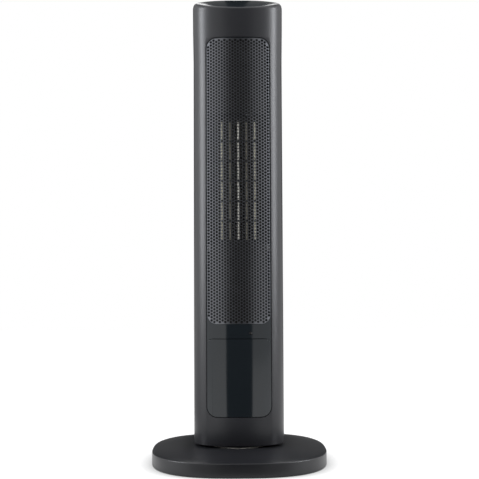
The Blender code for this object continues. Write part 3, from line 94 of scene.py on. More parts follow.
def sink(piece, wanted, rim, **move):  # insets the faces that pass and moves them on
    startEdit(piece, "FACE")
    pick(piece, "faces", wanted)
    bpy.ops.mesh.inset(thickness=rim)
    extrudeBy(**move)
    endEdit()


def newest(name):
    piece = bpy.context.view_layer.objects.active
    piece.name = name
    piece.data.name = name
    return piece


def added(name, operator, **settings):  # a new primitive, with nothing else selected
    bpy.ops.object.select_all(action="DESELECT")
    operator(**settings)
    return newest(name)


def settle(piece):  # takes the place, turn and size into the mesh
    alone(piece)
    bpy.ops.object.transform_apply(location=True, rotation=True, scale=True)


def stretched(name, operator, stretch, **settings):
    piece = added(name, operator, **settings)
    bpy.ops.transform.resize(value=stretch)
    settle(piece)
    return piece


def rod(name, radius, length, place, sides=32):  # a cylinder from front to back
    return added(name, bpy.ops.mesh.primitive_cylinder_add, vertices=sides, radius=radius, depth=length,
                 location=place, rotation=standing)


def modify(piece, kind, **settings):
    alone(piece)
    modifier = piece.modifiers.new(kind, kind)
    for setting, value in settings.items():
        setattr(modifier, setting, value)
    bpy.ops.object.modifier_apply(modifier=modifier.name)


def repeat(piece, count, step, **settings):
    modify(piece, "ARRAY", count=count, use_relative_offset=False, use_constant_offset=True,
           constant_offset_displace=step, **settings)


def carve(piece, cutter, operation="DIFFERENCE"):
    modify(piece, "BOOLEAN", object=cutter, operation=operation, solver="EXACT")
    bpy.data.objects.remove(cutter)


def softenEdges(piece, width, segments=2, angle=35):
    modify(piece, "BEVEL", width=width, segments=segments, limit_method="ANGLE",
           angle_limit=math.radians(angle), harden_normals=False, use_clamp_overlap=True)


def joinAll(pieces, name):
    alone(pieces[0])
    for piece in pieces[1:]:
        piece.select_set(True)
    bpy.ops.object.join()
    return newest(name)


def facesOut(piece):
    startEdit(piece)
    pickAll()
    bpy.ops.mesh.normals_make_consistent(inside=False)
    endEdit()


def finishPiece(piece, finish, slot, body, *nodes):
    settle(piece)
    bpy.ops.object.shade_smooth_by_angle(angle=math.radians(smoothAngle))
    if "turn" in piece.data.attributes:
        piece.data.attributes.remove(piece.data.attributes["turn"])
    piece.data.materials.clear()
    piece.data.materials.append(finishes[finish])
    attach(piece, body)
    if nodes:
        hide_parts(*nodes)


# rings: a circle is laid on a plan, and each next ring is extruded and laid on its own plan

def setRing(piece, place):
    mesh = bmesh.from_edit_mesh(piece.data)
    turn = mesh.verts.layers.float["turn"]
    for vertex in mesh.verts:
        if vertex.select:
            vertex.co = place(vertex[turn])
    bmesh.update_edit_mesh(piece.data)


def ringPiece(name, points, places, close):
    piece = added(name, bpy.ops.mesh.primitive_circle_add, vertices=points)
    turn = piece.data.attributes.new("turn", "FLOAT", "POINT")
    for vertex in piece.data.vertices:
        turn.data[vertex.index].value = math.atan2(vertex.co.y, vertex.co.x)
    startEdit(piece)
    pickAll()
    if close in ("caps", "cappedPole"):
        bpy.ops.mesh.edge_face_add()
    setRing(piece, places[0])
    for place in places[1:]:
        extrudeBy()
        setRing(piece, place)
    if close == "cappedPole":
        bpy.ops.mesh.merge(type="CENTER")
    if close == "tube":
        pickAll()
        bpy.ops.mesh.remove_doubles(threshold=tiny / 10)
    endEdit()
    facesOut(piece)
    return piece


def onPlan(angle, side, front, rear, exponent):
    across = math.cos(angle)
    along = math.sin(angle)
    x = side * math.copysign(abs(across) ** (2 / exponent), across)
    y = (rear if along > 0 else front) * math.copysign(abs(along) ** (2 / exponent), along)
    return x, y


def roundPlace(radius, height, centre=(0, 0)):
    def place(angle):
        return centre[0] + radius * math.cos(angle), centre[1] + radius * math.sin(angle), height
    return place


def turnedPiece(name, points, profile, close, centre=(0, 0)):  # the profile has a radius and a height per ring
    return ringPiece(name, points, [roundPlace(radius, height, centre) for radius, height in profile], close)


# plates: a rounded sheet that stands upright, is split in columns and laid on a curved face

def uprightPlate(name, half, bottom, top, corners, front, back):
    piece = stretched(name, bpy.ops.mesh.primitive_plane_add, (2 * half, 1, top - bottom), size=1,
                      location=(0, front, (bottom + top) / 2), rotation=standing)
    startEdit(piece)
    for level, radius in zip((bottom, top), corners):
        if radius:
            pick(piece, "verts", lambda vertex: abs(vertex.co.z - level) < tiny and
                 abs(abs(vertex.co.x) - half) < tiny)
            bpy.ops.mesh.bevel(offset=radius, segments=cornerSteps, affect="VERTICES", offset_type="OFFSET")
    pickAll()
    extrudeBy(y=back - front)
    endEdit()
    facesOut(piece)
    return piece


def splitColumns(piece, half, count):
    startEdit(piece)
    for index in range(1, count):
        pickAll()
        bpy.ops.mesh.bisect(plane_co=(half * (2 * index / count - 1), 0, 0), plane_no=(1, 0, 0))
    endEdit()


def wrapOn(piece, face):
    for vertex in piece.data.vertices:
        vertex.co.y += face(vertex.co.x)


def grown(panel, grow):  # a plate's half width, bottom, top and corner radii, all moved outwards
    return (panel["half"] + grow, panel["bottom"] - grow, panel["top"] + grow,
            tuple(corner + grow for corner in panel["corners"]))


def outsideBy(outline, x, z):  # how far a point lies outside a rounded outline
    half, bottom, top, corners = outline
    radius = corners[0] if z < (bottom + top) / 2 else corners[1]
    across = abs(x) - (half - radius)
    up = max(z - (top - radius), bottom + radius - z)
    return (math.hypot(across, up) if across > 0 and up > 0 else max(across, up)) - radius


def panelPlate(name, panel, grow, front, back, face):
    plate = uprightPlate(name, *grown(panel, grow), front, back)
    splitColumns(plate, panel["half"] + grow, panel["columns"])
    wrapOn(plate, face)
    return plate


# shader effects that several finishes share

def addNode(tree, kind, operation=None, values=None, effect=None):
    node = tree.nodes.new("ShaderNode" + kind)
    if operation:
        node.operation = operation
    if effect:
        node.node_tree = effects[effect]
    for socket, value in (values or {}).items():
        node.inputs[socket].default_value = value
    return node


def wire(tree, *links):  # each link: from node, its output, to node, its input
    for source, output, target, entry in links:
        tree.links.new(source.outputs[output], target.inputs[entry])


def newGroup(name, inputs, outputs):
    group = bpy.data.node_groups.new(name, "ShaderNodeTree")
    for label, kind, value in inputs:
        socket = group.interface.new_socket(name=label, in_out="INPUT", socket_type="NodeSocket" + kind)
        socket.default_value = value
    for label, kind in outputs:
        group.interface.new_socket(name=label, in_out="OUTPUT", socket_type="NodeSocket" + kind)
    return group, group.nodes.new("NodeGroupInput"), group.nodes.new("NodeGroupOutput")


def mouldedGrain():  # fine spark-eroded skin of moulded plastic, as a height
    group, enter, leave = newGroup("mouldedGrain", [("Scale", "Float", 2600.0), ("Depth", "Float", 1.0)],
                                   [("Height", "Float")])
    place = addNode(group, "TexCoord")
    pits = addNode(group, "TexVoronoi")
    cloud = addNode(group, "TexNoise", values={"Detail": 3})
    blend = addNode(group, "Math", "MULTIPLY_ADD", {1: 0.5})
    deep = addNode(group, "Math", "MULTIPLY")
    for texture in (pits, cloud):
        wire(group, (place, "Object", texture, "Vector"), (enter, "Scale", texture, "Scale"))
    wire(group, (pits, "Distance", blend, 0), (cloud, "Fac", blend, 2), (blend, 0, deep, 0),
         (enter, "Depth", deep, 1), (deep, 0, leave, "Height"))
    return group


def toneDrift():  # slow change of colour and roughness over a moulding
    group, enter, leave = newGroup("toneDrift",
                                   [("Color", "Color", (0.03, 0.03, 0.03, 1)),
                                    ("Second Color", "Color", (0.04, 0.04, 0.04, 1)), ("Scale", "Float", 12.0),
                                    ("Roughness", "Float", 0.4), ("Roughness Range", "Float", 0.05)],
                                   [("Color", "Color"), ("Roughness", "Float")])
    place = addNode(group, "TexCoord")
    cloud = addNode(group, "TexNoise", values={"Detail": 4})
    mix = addNode(group, "Mix")
    mix.data_type = "RGBA"
    rough = addNode(group, "Math", "MULTIPLY_ADD")
    wire(group, (place, "Object", cloud, "Vector"), (enter, "Scale", cloud, "Scale"),
         (cloud, "Fac", mix, "Factor"), (enter, "Color", mix, "A"), (enter, "Second Color", mix, "B"),
         (mix, "Result", leave, "Color"), (cloud, "Fac", rough, 0), (enter, "Roughness Range", rough, 1),
         (enter, "Roughness", rough, 2), (rough, 0, leave, "Roughness"))
    return group


effects = {"grain": mouldedGrain(), "drift": toneDrift()}
common = {"range": 0.05, "driftScale": 12, "grain": 0.05, "grainScale": 2600, "grainDepth": 0.00005, "metallic": 0}


def newFinish(name, look):
    look = {**common, **look}
    finish = bpy.data.materials.new(name)
    finish.use_nodes = True
    tree = finish.node_tree
    shader = tree.nodes["Principled BSDF"]
    colour = (*look["colour"], 1)
    shader.inputs["Metallic"].default_value = look["metallic"]
    drift = addNode(tree, "Group", effect="drift", values={
        "Scale": look["driftScale"], "Roughness": look["roughness"], "Roughness Range": look["range"]})
    wire(tree, (drift, "Roughness", shader, "Roughness"))
    if "second" in look:
        drift.inputs["Color"].default_value = colour
        drift.inputs["Second Color"].default_value = (*look["second"], 1)
        wire(tree, (drift, "Color", shader, "Base Color"))
    else:  # one colour all over
        shader.inputs["Base Color"].default_value = colour
    if look["grain"]:
        grain = addNode(tree, "Group", effect="grain", values={"Scale": look["grainScale"]})
        bump = addNode(tree, "Bump", values={"Strength": look["grain"], "Distance": look["grainDepth"]})
        wire(tree, (grain, "Height", bump, "Height"), (bump, "Normal", shader, "Normal"))
    return finish


looks = {
    "bodyGraphite": {"colour": (0.0088, 0.0092, 0.0118), "second": (0.0102, 0.0106, 0.0132), "roughness": 0.36,
                     "range": 0.04, "grain": 0.08},
    "baseGraphite": {"colour": (0.0058, 0.0061, 0.0080), "second": (0.0070, 0.0073, 0.0092), "roughness": 0.36,
                     "range": 0.04, "grain": 0.08},
    "glossPanel": {"colour": (0.0125, 0.0165, 0.0200), "second": (0.0140, 0.0180, 0.0215),
                   "roughness": 0.09, "range": 0.02, "grain": 0},
    "grilleSheet": {"colour": (0.150, 0.155, 0.169), "second": (0.176, 0.182, 0.197), "roughness": 0.28,
                    "metallic": 1, "grain": 0.1, "grainScale": 3200},
    "windowLens": {"colour": (0.006, 0.005, 0.006), "roughness": 0.08, "grain": 0},
    "blackPlastic": {"colour": (0.012, 0.012, 0.013), "second": (0.018, 0.018, 0.019), "roughness": 0.5,
                     "grain": 0.15},
    "innerPlastic": {"colour": (0.0050, 0.0050, 0.0054), "second": (0.0070, 0.0070, 0.0074), "roughness": 0.6,
                     "grain": 0.15},
    "rockerPlastic": {"colour": (0.010, 0.010, 0.011), "roughness": 0.22, "grain": 0.02},
    "wheelPlastic": {"colour": (0.028, 0.028, 0.030), "second": (0.036, 0.036, 0.038), "roughness": 0.5},
    "milkyNylon": {"colour": (0.62, 0.60, 0.55), "second": (0.70, 0.68, 0.62), "roughness": 0.42},
    "castIron": {"colour": (0.10, 0.10, 0.10), "second": (0.16, 0.15, 0.14), "roughness": 0.55,
                 "metallic": 0.8, "grain": 0.5, "grainScale": 900},
    "brightSteel": {"colour": (0.56, 0.56, 0.57), "second": (0.62, 0.62, 0.62), "roughness": 0.28,
                    "metallic": 1},
    "footRubber": {"colour": (0.016, 0.016, 0.016), "second": (0.024, 0.024, 0.024), "roughness": 0.8,
                   "grain": 0.3},
    "boardGreen": {"colour": (0.012, 0.075, 0.030), "second": (0.016, 0.10, 0.04), "roughness": 0.38,
                   "driftScale": 220},
    "blackSteel": {"colour": (0.10, 0.10, 0.10), "second": (0.14, 0.14, 0.14), "roughness": 0.35,
                   "metallic": 1},
    "markWhite": {"colour": (0.72, 0.72, 0.72), "roughness": 0.5, "grain": 0},
    "tubeAluminium": {"colour": (0.74, 0.68, 0.46), "second": (0.82, 0.80, 0.70), "roughness": 0.40,
                      "driftScale": 60},
    # a lighter copy of the tube colour, for the third tube: painted highlight
    "tubeLitCopy": {"colour": (0.90, 0.89, 0.82), "second": (0.90, 0.86, 0.74), "roughness": 0.36,
                   "driftScale": 60},
    # a darker copy of the tube colour, for the second and fourth tube: painted shade
    "tubeShadedCopy": {"colour": (0.20, 0.18, 0.13), "second": (0.26, 0.25, 0.21), "roughness": 0.45,
                    "driftScale": 60},
    "screenNet": {"colour": (0.010, 0.010, 0.010), "second": (0.016, 0.016, 0.016), "roughness": 0.7,
                  "grain": 0.6, "grainScale": 1400},
    "finAluminium": {"colour": (0.30, 0.28, 0.24), "second": (0.40, 0.38, 0.34), "roughness": 0.30,
                     "metallic": 1, "driftScale": 160, "grain": 0.1},
}
finishes = {name: newFinish(name, look) for name, look in looks.items()}
print("finishes made")


# camera, floor and light of the studio

camera = {"distance": 1.504, "height": 0.277, "pitch": 0.0507, "roll": -0.0044, "yaw": -0.012,
          "aimX": 0.0019, "focal": 932.0, "frame": 479, "sensor": 36.0, "near": 0.05}


def placeCamera():
    data = bpy.data.cameras.new("photoCamera")
    data.sensor_width = camera["sensor"]
    data.lens = camera["focal"] * camera["sensor"] / camera["frame"]
    data.clip_start = camera["near"]
    view = bpy.data.objects.new("photoCamera", data)
    bpy.context.scene.collection.objects.link(view)
    turn = Matrix.Rotation(camera["yaw"], 4, "Z")
    stand = Matrix.Translation((camera["aimX"], -camera["distance"], camera["height"]))
    tilt = Matrix.Rotation(math.pi / 2 + camera["pitch"], 4, "X")
    roll = Matrix.Rotation(camera["roll"], 4, "Z")
    view.matrix_world = turn @ stand @ tilt @ roll
    bpy.context.scene.camera = view


stage = {"floorSize": 9.0, "floorColour": (0.16, 0.16, 0.16), "floorGlow": 0.99, "contactShadeReach": 0.035,
         "worldGlow": 0.25, "whiteGlow": 1.0}


def uprightCard(left, right, y, low, high):
    return (left, y, low), (right, y, low), (left, y, high), (right, y, high)


def flatCard(z, *corners):
    return [(x, y, z) for x, y in corners]


cards = {  # screens that only reflections show: near left, near right, far left and far right corner, and tone
    "frontCard": (uprightCard(-0.43, 0.50, -1.95, 0, 2.6), 0.01),
    "rightFrontCard": (((0.50, -1.95, 0), (2.6, -1.2, 0), (0.50, -1.95, 2.6), (2.6, -1.2, 2.6)), 0.72),
    "frontFloorCard": (flatCard(0.003, (-0.045, -0.20), (0.050, -0.20), (-0.43, -1.95), (0.50, -1.95)), 0.01),
    "nearFloorCard": (flatCard(0.001, (-0.12, -0.16), (0.12, -0.16), (-0.36, -0.42), (0.36, -0.42)), 0.35),
    "leftFloorCard": (flatCard(0.002, (-0.25, 0.0), (-0.25, 1.0), (-1.60, -0.2), (-1.60, 1.4)), 0.6),
    "topCard": (flatCard(2.35, (-0.034, -1.0), (0.067, -1.0), (-0.034, 1.2), (0.067, 1.2)), 0.01),
    "backLowCard": (uprightCard(-0.17, 0.17, 1.49, 0, 0.42), 0.0),
    "sideLowCard": (uprightCard(-1.2, 1.2, 1.5, 0, 0.42), 0.27),
    "backMiddleCard": (uprightCard(-1.2, 1.2, 1.5, 0.42, 1.24), 0.0),
    "backHighCard": (uprightCard(-1.2, 1.2, 1.5, 1.24, 3.8), 0.15),
    "backStripCard": (uprightCard(-0.034, 0.067, 1.48, 1.24, 3.8), 0.01),
    "leftRimCard": (uprightCard(-0.42, -0.19, 1.48, 1.26, 3.6), 3.0),
    "rightRimCard": (uprightCard(0.245, 0.46, 1.48, 1.26, 3.6), 3.0),
}
sideBox = {"aim": (0, 0, 0.40), "size": (0.30, 1.3), "power": 17, "tint": (0.94, 0.96, 1), "mirrored": True}
lamps = {
    "leftBox": {"place": (-1.125, -0.24, 0.85), **sideBox},
    "rightBox": {"place": (1.125, -0.24, 0.85), **sideBox},
    "topBox": {"place": (0.0, -0.35, 2.5), "aim": (0, 0, 0.3), "size": (1.3, 1.0), "power": 3,
               "tint": (1, 1, 1), "mirrored": True},
    "frontFill": {"place": (-0.3, -2.2, 1.2), "aim": (0, 0, 0.4), "size": (1.2, 1.2), "power": 18,
                  "tint": (1, 1, 1), "mirrored": False},
}


def bareMaterial(piece, name):  # a material with nothing but its output
    material = bpy.data.materials.new(name)
    material.use_nodes = True
    tree = material.node_tree
    tree.nodes.remove(tree.nodes["Principled BSDF"])
    piece.data.materials.append(material)
    return tree, tree.nodes["Material Output"]


def whiteWhereSeen(tree, shader, glow, output):  # camera, mirror and glass rays meet plain white
    path = addNode(tree, "LightPath")
    seen = addNode(tree, "Math", "MAXIMUM")
    white = addNode(tree, "Math", "MAXIMUM")
    mix = addNode(tree, "MixShader")
    wire(tree, (path, "Is Camera Ray", seen, 0), (path, "Is Glossy Ray", seen, 1), (seen, 0, white, 0),
         (path, "Is Transmission Ray", white, 1), (white, 0, mix, 0), (shader, 0, mix, 1), (glow, 0, mix, 2),
         (mix, 0, output, "Surface"))


def buildStage():
    world = bpy.data.worlds.new("studio")
    bpy.context.scene.world = world
    world.use_nodes = True
    tree = world.node_tree
    soft = tree.nodes["Background"]
    white = addNode(tree, "Background")
    for shader, strength in ((soft, stage["worldGlow"]), (white, stage["whiteGlow"])):
        shader.inputs["Color"].default_value = (1, 1, 1, 1)
        shader.inputs["Strength"].default_value = strength
    whiteWhereSeen(tree, soft, white, tree.nodes["World Output"])

    floor = added("studioFloor", bpy.ops.mesh.primitive_plane_add, size=stage["floorSize"])
    tree, output = bareMaterial(floor, "floorPaper")
    matt = addNode(tree, "BsdfDiffuse", values={"Color": (*stage["floorColour"], 1)})
    paintedContactShade = addNode(tree, "AmbientOcclusion", values={"Distance": stage["contactShadeReach"]})  # painted shadow at the base's foot: occlusion dims the floor's glow where the base stands
    strength = addNode(tree, "Math", "MULTIPLY", {1: stage["floorGlow"]})
    glow = addNode(tree, "Emission")
    both = addNode(tree, "AddShader")
    wire(tree, (paintedContactShade, "AO", strength, 0), (strength, 0, glow, "Strength"), (matt, 0, both, 0), (glow, 0, both, 1))
    whiteWhereSeen(tree, matt, both, output)


def hangCards():
    for name, (corners, tone) in cards.items():
        board = added(name, bpy.ops.mesh.primitive_plane_add, size=1)
        for vertex in board.data.vertices:
            right = vertex.co.x > 0
            far = vertex.co.y > 0
            vertex.co = corners[2 * far + right]
        board.visible_camera = board.visible_shadow = board.visible_diffuse = False
        tree, output = bareMaterial(board, name)
        wire(tree, (addNode(tree, "Emission", values={"Strength": tone}), 0, output, "Surface"))


def hangLamps():
    for name, lamp in lamps.items():
        data = bpy.data.lights.new(name, "AREA")
        data.shape = "RECTANGLE"
        data.size, data.size_y = lamp["size"]
        data.energy = lamp["power"]
        data.color = lamp["tint"]
        light = bpy.data.objects.new(name, data)
        bpy.context.scene.collection.objects.link(light)
        light.location = lamp["place"]
        aim = Vector(lamp["aim"]) - Vector(lamp["place"])
        light.rotation_euler = aim.to_track_quat("-Z", "Y").to_euler()
        light.visible_camera = False
        light.visible_glossy = lamp["mirrored"]


placeCamera()
buildStage()
hangCards()
hangLamps()
bpy.context.scene.view_settings.view_transform = "Standard"
print("studio lit")


# base: domed cover, cord inlet, feet

base = {"halfWidth": 0.1375, "halfDepth": 0.1424, "exponent": 2.6, "skirt": 0.0012, "hem": 0.0004, "rim": 0.0215,
        "edgeRound": 0.0016, "wall": 0.0022, "domeRise": 0.0055, "domeExponent": 5.6, "wellRim": 0.0470,
        "wellFloor": 0.0410, "shoulderDepth": 0.0027, "floorDepth": 0.0130, "cableBore": 0.0065, "points": 240,
        "edgeSteps": 6, "lipRound": ((0.0008, 0), (0.0002, 0.0003), (0, 0.0008)),  # out from the well and down
        "rings": (0.975, 0.96, 0.94, 0.92, 0.89, 0.86, 0.82, 0.76, 0.68, 0.58, 0.48),
        "innerRings": (0.58, 0.76, 0.90, 0.96)}
base["top"] = base["rim"] + base["domeRise"]


def basePlace(height, inward=0.0, share=1.0):
    def place(angle):
        depth = (base["halfDepth"] - inward) * share
        return *onPlan(angle, (base["halfWidth"] - inward) * share, depth, depth, base["exponent"]), height
    return place


def domeHeight(share):
    return base["rim"] + base["domeRise"] * (1 - share ** base["domeExponent"])


def makeBaseCover():
    skirt, hem, edge, wall = base["skirt"], base["hem"], base["edgeRound"], base["wall"]
    places = [basePlace(skirt + hem), basePlace(base["rim"] - edge)]
    for step in range(base["edgeSteps"]):
        angle = math.radians(90 * (step + 1) / base["edgeSteps"])
        places.append(basePlace(base["rim"] - edge * (1 - math.sin(angle)), edge * (1 - math.cos(angle))))
    places += [basePlace(domeHeight(share), 0, share) for share in base["rings"]]
    rim = base["wellRim"]
    floor = base["wellFloor"]
    shoulder = base["top"] - base["shoulderDepth"]
    bottom = base["top"] - base["floorDepth"]
    places += [roundPlace(rim + out, base["top"] - down) for out, down in base["lipRound"]]
    places += [roundPlace(rim, shoulder), roundPlace(floor, shoulder), roundPlace(floor, bottom),
               roundPlace(base["cableBore"], bottom), roundPlace(base["cableBore"], bottom - wall),
               roundPlace(floor + wall, bottom - wall), roundPlace(rim + wall, shoulder - wall),
               roundPlace(rim + wall, base["top"] - wall)]
    places += [basePlace(domeHeight(share) - wall, wall, share) for share in base["innerRings"]]
    places += [basePlace(base["rim"] - wall, wall), basePlace(skirt, wall), basePlace(skirt, hem),
               basePlace(skirt + hem)]
    cover = ringPiece("baseCover", base["points"], places, "tube")
    carve(cover, rod("inletHole", inlet["neck"] + inlet["gap"], inlet["hole"],
                     (0, base["halfDepth"], inlet["height"]), 40))
    finishPiece(cover, "baseGraphite", "body_graphite", "base", "base_cover")


inlet = {"height": 0.01225, "flange": 0.0067, "neck": 0.0056, "bore": 0.0038, "thickness": 0.0018,
         "tail": 0.0052, "tailLength": 0.0070, "ribs": 3, "ribShares": (0.55, 0.62, 0.92), "groove": 0.0007,
         "taper": 0.00015, "round": 0.0004, "gap": 0.0003, "hole": 0.02}


def makeInlet():
    out = inlet["gap"]
    inside = -base["wall"] - out
    start = inside - inlet["thickness"]
    face = out + inlet["thickness"]
    length = out + inlet["tailLength"]
    flange, neck, bore, ease = inlet["flange"], inlet["neck"], inlet["bore"], inlet["round"]
    profile = [(bore, start), (flange, start), (flange, inside), (neck, inside), (neck, out), (flange - out, out),
               (flange, 2 * out), (flange, face - ease), (flange - ease, face), (inlet["tail"], face)]
    rib = (length - face) / inlet["ribs"]
    for index in range(inlet["ribs"]):
        low = face + rib * index
        thick = inlet["tail"] - inlet["taper"] * index
        thin = thick - inlet["groove"]
        levels = [low + rib * share for share in inlet["ribShares"]]
        profile += [*zip((thick, thin, thin), levels), (thick - inlet["taper"], low + rib)]
    profile += [(bore + ease, length), (bore, length - ease), (bore, start)]
    gland = turnedPiece("cordInlet", 40, profile, "tube")
    gland.location = (0, base["halfDepth"], inlet["height"])
    gland.rotation_euler = (-math.pi / 2, 0, 0)
    finishPiece(gland, "blackPlastic", "black_plastic", "base", "cord_inlet")


foot = {"x": 0.0880, "y": 0.0920, "radius": 0.0090, "height": 0.0027, "round": 0.0007, "ease": 0.0002,
        "sole": 0.0070, "soleArea": 0.00005, "rim": 0.0012, "hollow": 0.0006}


def makeFeet():
    radius = foot["radius"]
    profile = [(foot["sole"], 0), (radius - foot["round"], 0), (radius - foot["ease"], foot["ease"]),
               (radius, foot["round"]), (radius, foot["height"])]
    for row, y in (("front", -foot["y"]), ("rear", foot["y"])):
        for side, x in (("left", -foot["x"]), ("right", foot["x"])):
            pad = turnedPiece(f"footPad-{row}-{side}", 40, profile, "caps", (x, y))
            sink(pad, lambda face: face.normal.z < -facing and face.calc_area() > foot["soleArea"], foot["rim"],
                 z=foot["hollow"])
            finishPiece(pad, "footRubber", "rubber", "base", f"foot_{row}_{side}")


makeBaseCover()
makeInlet()
makeFeet()
print("base made")


# column: two housings, screws, top panel, turntable

column = {"halfWidth": 0.0716, "front": 0.0490, "rear": 0.0620, "exponent": 2.5, "bottom": 0.0304, "hem": 0.0010,
          "wall": 0.0025, "seam": 0.0060, "gap": 0.0003, "flare": 0.0010, "flareStart": 0.6400,
          "flareRise": 0.0680, "crest": 0.7478, "crestY": 0.0120, "frontFall": 0.0290, "frontPower": 1.5,
          "rearFall": 0.0060, "sideFall": 0.0056, "shoulder": 0.0066, "shoulderDrop": 0.0090,
          "frontShoulder": 0.0018, "frontDrop": 0.0020, "cornerPower": 5, "ledge": 0.0060, "panel": 0.0025,
          "points": 240, "wallRings": 9, "flareShares": (0.25, 0.5, 0.75), "shoulderSteps": 9,
          "underRings": (0.1, 0.5, 0.9, 1),
          "panelEdge": ((0, 0.0005), (0.00007, 0.0002), (0.0003, 0.00003), (0.0006, 0)),  # in and down
          "panelRings": (0.97, 0.93, 0.88, 0.82, 0.75, 0.67, 0.58, 0.48, 0.38, 0.28, 0.18, 0.08)}
inset = {"half": 0.0503, "bottom": 0.0751, "top": 0.6709, "corners": (0.0157, 0.0150), "groove": 0.0009,
         "setback": 0.0002, "thickness": 0.0041, "ledge": 0.0024, "ledgeThickness": 0.0030,
         "ledgeMargin": 0.0030, "edge": 0.0004, "columns": 46}
intake = {"half": 0.0400, "bottom": 0.3269, "top": 0.5777, "corners": (0.0060, 0.0060), "thickness": 0.0041,
          "columns": 34, "slots": 7, "bays": 2, "slotWidth": 0.0056, "margin": 0.0070, "screenMargin": 0.003,
          "screen": (-0.0038, -0.0035), "edge": 0.0005}
grip = {"half": 0.0380, "bottom": 0.6540, "top": 0.6860, "corners": (0.0080, 0.0080), "depth": 0.0230,
        "wall": 0.0022, "columns": 24, "edge": 0.0008}
power = {"height": 0.0750, "half": 0.0065, "tall": 0.0100, "depth": 0.0160, "margin": 0.0016, "corner": 0.0012,
         "flange": 0.0014, "radius": 0.0070, "room": 0.0006, "rockerHalf": 0.0045, "valley": 0.0012,
         "edge": 0.0021, "throw": 14.0, "bezelRound": 0.0005, "rockerRound": 0.0003}
screws = {"places": [(x, z) for z in (0.6150, 0.2900, 0.0900) for x in (-0.034, 0.034)], "wellRadius": 0.0036,
          "wellDepth": 0.0050, "wall": 0.0015, "floor": 0.0020, "skin": 0.0010, "gap": 0.0004, "shank": 0.0016,
          "head": 0.0031, "dome": ((1, 0.0010), (1, 0.0018), (0.92, 0.0022), (0.70, 0.0026), (0.35, 0.0028)),
          "cross": (0.0034, 0.0007, 0.0016), "crossHeight": 0.0024, "turn": 0.3, "spread": 40}
lip = {"skin": 0.0006, "outline": 0.00006, "round": 0.0004}  # edges this near an opening's outline are rounded


def frontFace(x):
    share = min(1, abs(x) / column["halfWidth"])
    return -column["front"] * (1 - share ** column["exponent"]) ** (1 / column["exponent"])


def rearFace(x):
    return -frontFace(x) * column["rear"] / column["front"]


def crownHeight(x, y):
    across = column["sideFall"] * (abs(x) / column["halfWidth"]) ** 3
    if y < column["crestY"]:
        reach = column["front"] + column["crestY"]
        fall = column["frontFall"] * ((column["crestY"] - y) / reach) ** column["frontPower"]
    else:
        reach = column["rear"] - column["crestY"]
        fall = column["rearFall"] * ((y - column["crestY"]) / reach) ** 2
    return column["crest"] - fall - across


def columnPlan(angle, inward=0.0, frontInward=None, flare=0.0):
    front = inward if frontInward is None else frontInward
    return onPlan(angle, column["halfWidth"] + flare - inward, column["front"] - front,
                  column["rear"] - inward, column["exponent"])


def wallPlace(height, inward=0.0, flare=0.0):
    return lambda angle: (*columnPlan(angle, inward, None, flare), height)


def crownPlace(inward, frontInward, drop, share=1):  # a ring under the crown, drawn in to a share of its width
    middle = (column["rear"] - column["front"]) / 2

    def place(angle):
        x, y = columnPlan(angle, inward, frontInward, column["flare"])
        x = x * share
        y = middle + (y - middle) * share
        return x, y, crownHeight(x, y) - drop
    return place


def shoulderPlace(turn):
    share = 1 - math.cos(turn)

    def place(angle):
        x, y = columnPlan(angle, column["shoulder"] * share, column["frontShoulder"] * share, column["flare"])
        drop = column["shoulderDrop"]
        if y < 0:
            side = (abs(x) / column["halfWidth"]) ** column["cornerPower"]
            drop = column["frontDrop"] + (column["shoulderDrop"] - column["frontDrop"]) * side
        return x, y, crownHeight(x, y) - drop * (1 - math.sin(turn))
    return place


def makeShell(name, side):  # side is -1 for the front housing and 1 for the rear one
    bottom, hem, gap, wall = column["bottom"], column["hem"], column["gap"], column["wall"]
    places = [wallPlace(bottom, hem), wallPlace(bottom + gap, gap), wallPlace(bottom + hem)]
    rise = column["flareStart"] - bottom - hem
    rings = column["wallRings"]
    places += [wallPlace(bottom + hem + rise * (step + 1) / rings) for step in range(rings)]
    places += [wallPlace(column["flareStart"] + column["flareRise"] * share, 0, column["flare"] * share)
               for share in column["flareShares"]]
    steps = column["shoulderSteps"]
    places += [shoulderPlace(math.radians(90 * step / steps)) for step in range(steps + 1)]
    seat = column["panel"] + gap
    shoulder, front, ledge = column["shoulder"], column["frontShoulder"], column["ledge"]
    places += [crownPlace(shoulder, front, seat), crownPlace(shoulder + ledge, front + ledge, seat),
               crownPlace(shoulder + ledge, front + ledge, seat + wall),
               crownPlace(wall, None, column["shoulderDrop"]),
               wallPlace(column["flareStart"], wall), wallPlace(bottom, wall), wallPlace(bottom, hem)]
    shell = ringPiece(name, column["points"], places, "tube")
    startEdit(shell)
    pickAll()
    bpy.ops.mesh.bisect(plane_co=(0, column["seam"] + side * gap / 2, 0), plane_no=(0, side, 0),
                        use_fill=True, clear_inner=True)
    endEdit()
    return shell


def openWindow(housing, name, panel, room, side, skin):  # a window with a ledge round it for the panel
    face = inset["setback"] + inset["thickness"] + column["gap"]
    back = face + inset["ledgeThickness"]
    for kind, grow, outer, inner, operation in (
            ("Ledge", inset["ledgeMargin"], -column["wall"] / 2, -back, "UNION"),
            ("Pocket", room, past, -face, "DIFFERENCE"),
            ("Window", -inset["ledge"], past, -back - column["wall"], "DIFFERENCE")):
        carve(housing, panelPlate(name + kind, panel, grow, *sorted((side * outer, side * inner)), skin), operation)


def roundOpening(piece, panel, grow, face, width=lip["round"]):
    outline = grown(panel, grow)

    def onLip(edge):
        return all(abs(vertex.co.y - face(vertex.co.x)) <= lip["skin"] and
                   abs(outsideBy(outline, vertex.co.x, vertex.co.z)) <= lip["outline"] for vertex in edge.verts)
    startEdit(piece, "EDGE")
    pick(piece, "edges", onLip)
    bpy.ops.mesh.bevel(offset=width, segments=2, affect="EDGES", clamp_overlap=True)
    endEdit()


def makeFrontHousing():
    housing = makeShell("frontHousing", -1)
    openWindow(housing, "inset", inset, inset["groove"], -1, frontFace)
    roundOpening(housing, inset, inset["groove"], frontFace)
    finishPiece(housing, "bodyGraphite", "body_graphite", "tower", "front_housing")


